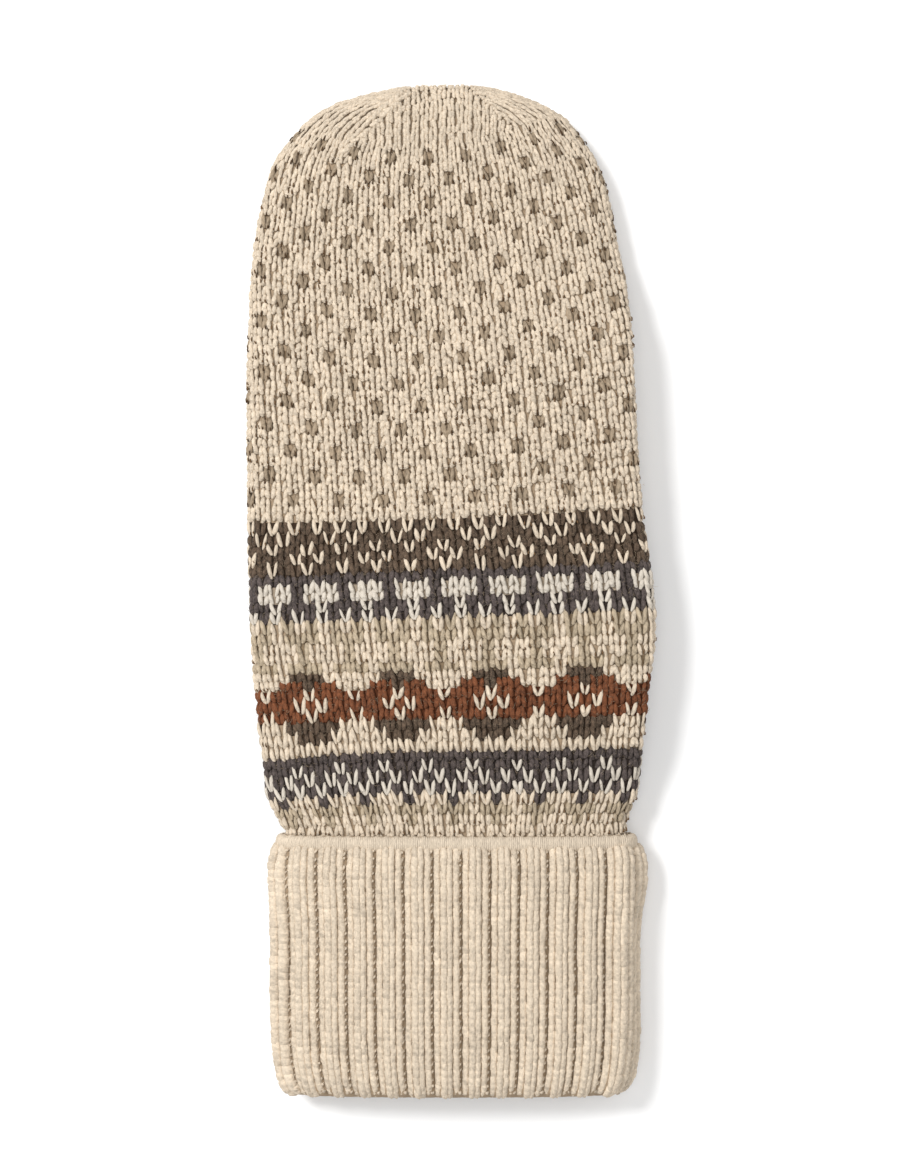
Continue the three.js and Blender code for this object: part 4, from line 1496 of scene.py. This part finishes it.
class MITTEN_OT_cuff(bpy.types.Operator):
    """Knits the turned-up cuff in ribs of two columns"""

    bl_idname = "mitten.cuff"
    bl_label = "Knit the cuff"

    def execute(self, context):
        rng = np.random.default_rng(13)
        made = wool()
        profile = cuff_profile()
        run = path_run(profile[:, :2])

        # The wall follows the profile; its outside lies under the stitches.
        around = RIB_COUNT * CUFF_WALL_AROUND
        shares = np.arange(around) / around
        edge_run, fold_run = run[8], run[8 + 30]
        rings = []
        for index, distance in enumerate(run):
            over = fade(distance, edge_run - 1.5, edge_run + 1.5)
            over *= 1 - fade(distance, fold_run + 5.0, fold_run + 8.6)
            spot = profile[index]
            rings.append(cuff_surface(spot, shares, np.full(around, WALL_SINK * float(over))))
        gap_side = [
            (y, 0.0, 0.0) for y in (-SEAM_DEPTH - SEAM_GAP, -30.0, -50.0, -CUFF_HEIGHT + 3.6)
        ] + [(y, LAYER_GAP, 0.0) for y in (-CUFF_HEIGHT + 3.6, -50.0, -30.0, -12.0, -2.0)]
        for spot in gap_side:
            rings.append(cuff_surface(spot, shares, np.zeros(around)))
        rings.append(rings[0])
        faces = grid_faces(len(rings), around)
        faces = np.where(faces >= (len(rings) - 1) * around,
                         faces - (len(rings) - 1) * around, faces)[:, ::-1]
        points = np.concatenate(rings[:-1])
        wall = make_mesh("cuff_wall", points, (faces.ravel(), np.full(len(faces), 4)))
        # The cuff's wall takes the oat yarn's knitted back, in painted shade.
        wall.data.materials.append(made["o_wall"])
        finish_piece(wall, "cuff")
        rows = np.arange(edge_run + 1.0, fold_run + 6.5, CUFF_ROW)

        def frames(distance, column_share, rib_share, depth, tilt=0.0):
            """Places, directions and widths of one row's stitches in every rib. The tilt turns
            them about their columns, which rounds the rib."""
            share = (np.arange(RIB_COUNT) + column_share) / RIB_COUNT
            half = rib_share / 2 / RIB_COUNT
            deep = np.full(RIB_COUNT, depth)
            here = cuff_surface(on_path(distance, run, profile), share, deep)
            head = cuff_surface(on_path(distance + CUFF_LEG, run, profile), share, deep)
            one = cuff_surface(on_path(distance, run, profile), share - half, deep)
            other = cuff_surface(on_path(distance, run, profile), share + half, deep)
            up, across = unit(here - head), unit(other - one)
            outward = unit(np.cross(up, across))
            across = across * math.cos(tilt) + outward * math.sin(tilt)
            outward = unit(np.cross(up, across))
            width = np.linalg.norm(other - one, axis=-1)
            return here, across, up, outward, width, -np.linalg.norm(here - head, axis=-1)

        # The cuff is turned up, so its stitches' feet point to its free edge.
        keys = ("place", "across", "up", "outward", "width", "length")
        sets = {key: [] for key in keys}
        purl = {key: [] for key in keys}
        for distance in rows:
            for column_share, tilt in zip(RIB_COLUMNS, (RIB_TILT, -RIB_TILT)):
                row = frames(distance, column_share, RIB_COLUMN_SHARE, RIB_SINK, tilt)
                for key, value in zip(keys, row):
                    sets[key].append(value)
            row = frames(distance, PURL_COLUMN, PURL_SHARE, PURL_SINK)
            for key, value in zip(keys, row):
                purl[key].append(value)
        every = {key: np.concatenate(value) for key, value in sets.items()}
        every["style"] = np.tile(RIB, (len(every["place"]), 1))
        high = every["outward"][:, 2] > -0.25
        for word, chosen in (("back", high), ("under", ~high)):
            thing = v_stitches(
                f"cuff_stitches_{word}", picked(every, chosen), made["o"],
                6 if word == "back" else 4, rng, steady=2.2,
            )
            finish_piece(thing, "cuff")
        thing = loose_fibres("cuff_fibres", picked(every, high), CUFF_FIBRES, made["o"], rng)
        finish_piece(thing, "cuff")
        # Purl bumps: short strands across the valleys.
        purl = {key: np.concatenate(value) for key, value in purl.items()}
        purl = picked(purl, purl["outward"][:, 2] > -0.25)
        count = len(purl["place"])
        half = purl["across"] * (purl["width"] * (0.6 + 0.1 * rng.normal(0, 1, count)))[:, None]
        full = 0.46 + 0.05 * rng.normal(0, 1, count)
        lean = purl["up"] * (-0.55 + 0.2 * rng.normal(0, 1, count))[:, None]
        purl["place"] = purl["place"] + purl["up"] * (0.25 * rng.normal(0, 1, count))[:, None]
        thing = strands_mesh(
            "cuff_purl_bumps", leg_template(4), purl["place"] - half - lean,
            purl["place"] + half + lean, purl["outward"], full, full, np.zeros(count), rng,
            droop=(0.25, 0.25),
        )
        thing.data.materials.append(made["o"])
        finish_piece(thing, "cuff")
        finish_piece(rolled_edge(made), "cuff")
        return {"FINISHED"}


def floor_material(colour):
    """Matt painted board: even and pale, so that only the mitten's soft shadow shows."""
    material, tree = new_material("painted_board")
    place = add_node(tree, "ShaderNodeTexCoord")
    # Brush marks about 5 mm apart, far weaker than the eye notices.
    marks = add_node(
        tree, "ShaderNodeTexNoise", {"Scale": 200.0, "Detail": 2.0},
        {"Vector": place.outputs["Object"]},
    )
    bump = add_node(
        tree, "ShaderNodeBump", {"Strength": 0.02, "Distance": 0.0002},
        {"Height": marks.outputs["Fac"]},
    )
    add_surface(
        tree, {"Base Color": colour, "Roughness": 0.9, "IOR": 1.5},
        {"Normal": bump.outputs["Normal"]},
    )
    return material


# Place in metres, and for the top light its width in metres and power in watts
KEY_PLACE = (-0.66, 0.46, 1.14)
TOP_LIGHT = ((0.15, 0.0, 1.6), 1.0, 9.6)
WORLD_STRENGTH = 0.49
FLOOR_HALF = 2.0


def area_light(name, location, size, power):
    """A round soft light, aimed at the middle of the mitten."""
    light = bpy.data.lights.new(name, "AREA")
    light.shape = "DISK"
    light.size = size
    light.energy = power
    thing = bpy.data.objects.new(name, light)
    thing.location = location
    thing.rotation_euler = (-Vector(location)).to_track_quat("-Z", "Y").to_euler()
    bpy.context.scene.collection.objects.link(thing)


class MITTEN_OT_stage(bpy.types.Operator):
    """Sets the mitten on a pale floor, under soft light and a camera straight above"""

    bl_idname = "mitten.stage"
    bl_label = "Set the stage"

    def execute(self, context):
        scene = context.scene
        studio = scene.mitten_studio
        mesh = bpy.data.meshes.new("floor")
        half = FLOOR_HALF
        mesh.from_pydata(
            [(-half, -half, 0), (half, -half, 0), (half, half, 0), (-half, half, 0)],
            [], [(0, 1, 2, 3)],
        )
        floor = bpy.data.objects.new("floor", mesh)
        floor.location.z = -0.0002
        floor.data.materials.append(floor_material([*studio.floor_colour, 1.0]))
        scene.collection.objects.link(floor)
        floor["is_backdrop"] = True
        world = bpy.data.worlds.new("studio")
        world.use_nodes = True
        world.node_tree.nodes["Background"].inputs["Color"].default_value = (1, 1, 1, 1)
        world.node_tree.nodes["Background"].inputs["Strength"].default_value = WORLD_STRENGTH
        scene.world = world
        area_light("key_light", KEY_PLACE, studio.key_size, studio.key_power)
        area_light("top_light", *TOP_LIGHT)
        scene.view_settings.view_transform = "Standard"
        camera = bpy.data.cameras.new("camera")
        camera.lens = 85
        camera.sensor_width = 36
        # The long side of the frame is its height.
        low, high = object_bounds()
        length = (high - low).y
        distance = length / studio.frame_fill * camera.lens / camera.sensor_width
        thing = bpy.data.objects.new("camera", camera)
        thing.location = ((low.x + high.x) / 2, (low.y + high.y) / 2, distance + 0.02)
        scene.collection.objects.link(thing)
        scene.camera = thing
        return {"FINISHED"}


class MITTEN_PT_panel(bpy.types.Panel):
    """Lists the mitten's settings and the steps that make it"""

    bl_idname = "MITTEN_PT_panel"
    bl_label = "Jacquard mitten"
    bl_space_type = "VIEW_3D"
    bl_region_type = "UI"
    bl_category = "Mitten"

    def draw(self, context):
        for group in ("mitten_yarns", "mitten_knitting", "mitten_studio"):
            settings = getattr(context.scene, group)
            box = self.layout.box()
            for name in settings.__annotations__:
                box.prop(settings, name)
        for operator in STEPS:
            self.layout.operator(operator.bl_idname)


STEPS = (MITTEN_OT_hand, MITTEN_OT_thumb, MITTEN_OT_cuff, MITTEN_OT_stage)
GROUPS = {
    "mitten_yarns": MITTEN_PG_yarns,
    "mitten_knitting": MITTEN_PG_knitting,
    "mitten_studio": MITTEN_PG_studio,
}
CLASSES = (*GROUPS.values(), *STEPS, MITTEN_PT_panel)


def register():
    for kind in CLASSES:
        bpy.utils.register_class(kind)
    for name, group in GROUPS.items():
        setattr(bpy.types.Scene, name, bpy.props.PointerProperty(type=group))


def unregister():
    for name in GROUPS:
        delattr(bpy.types.Scene, name)
    for kind in reversed(CLASSES):
        bpy.utils.unregister_class(kind)


def main():
    register()
    bpy.ops.mitten.hand()
    bpy.ops.mitten.thumb()
    bpy.ops.mitten.cuff()
    bpy.ops.mitten.stage()


if __name__ == "__main__":
    main()
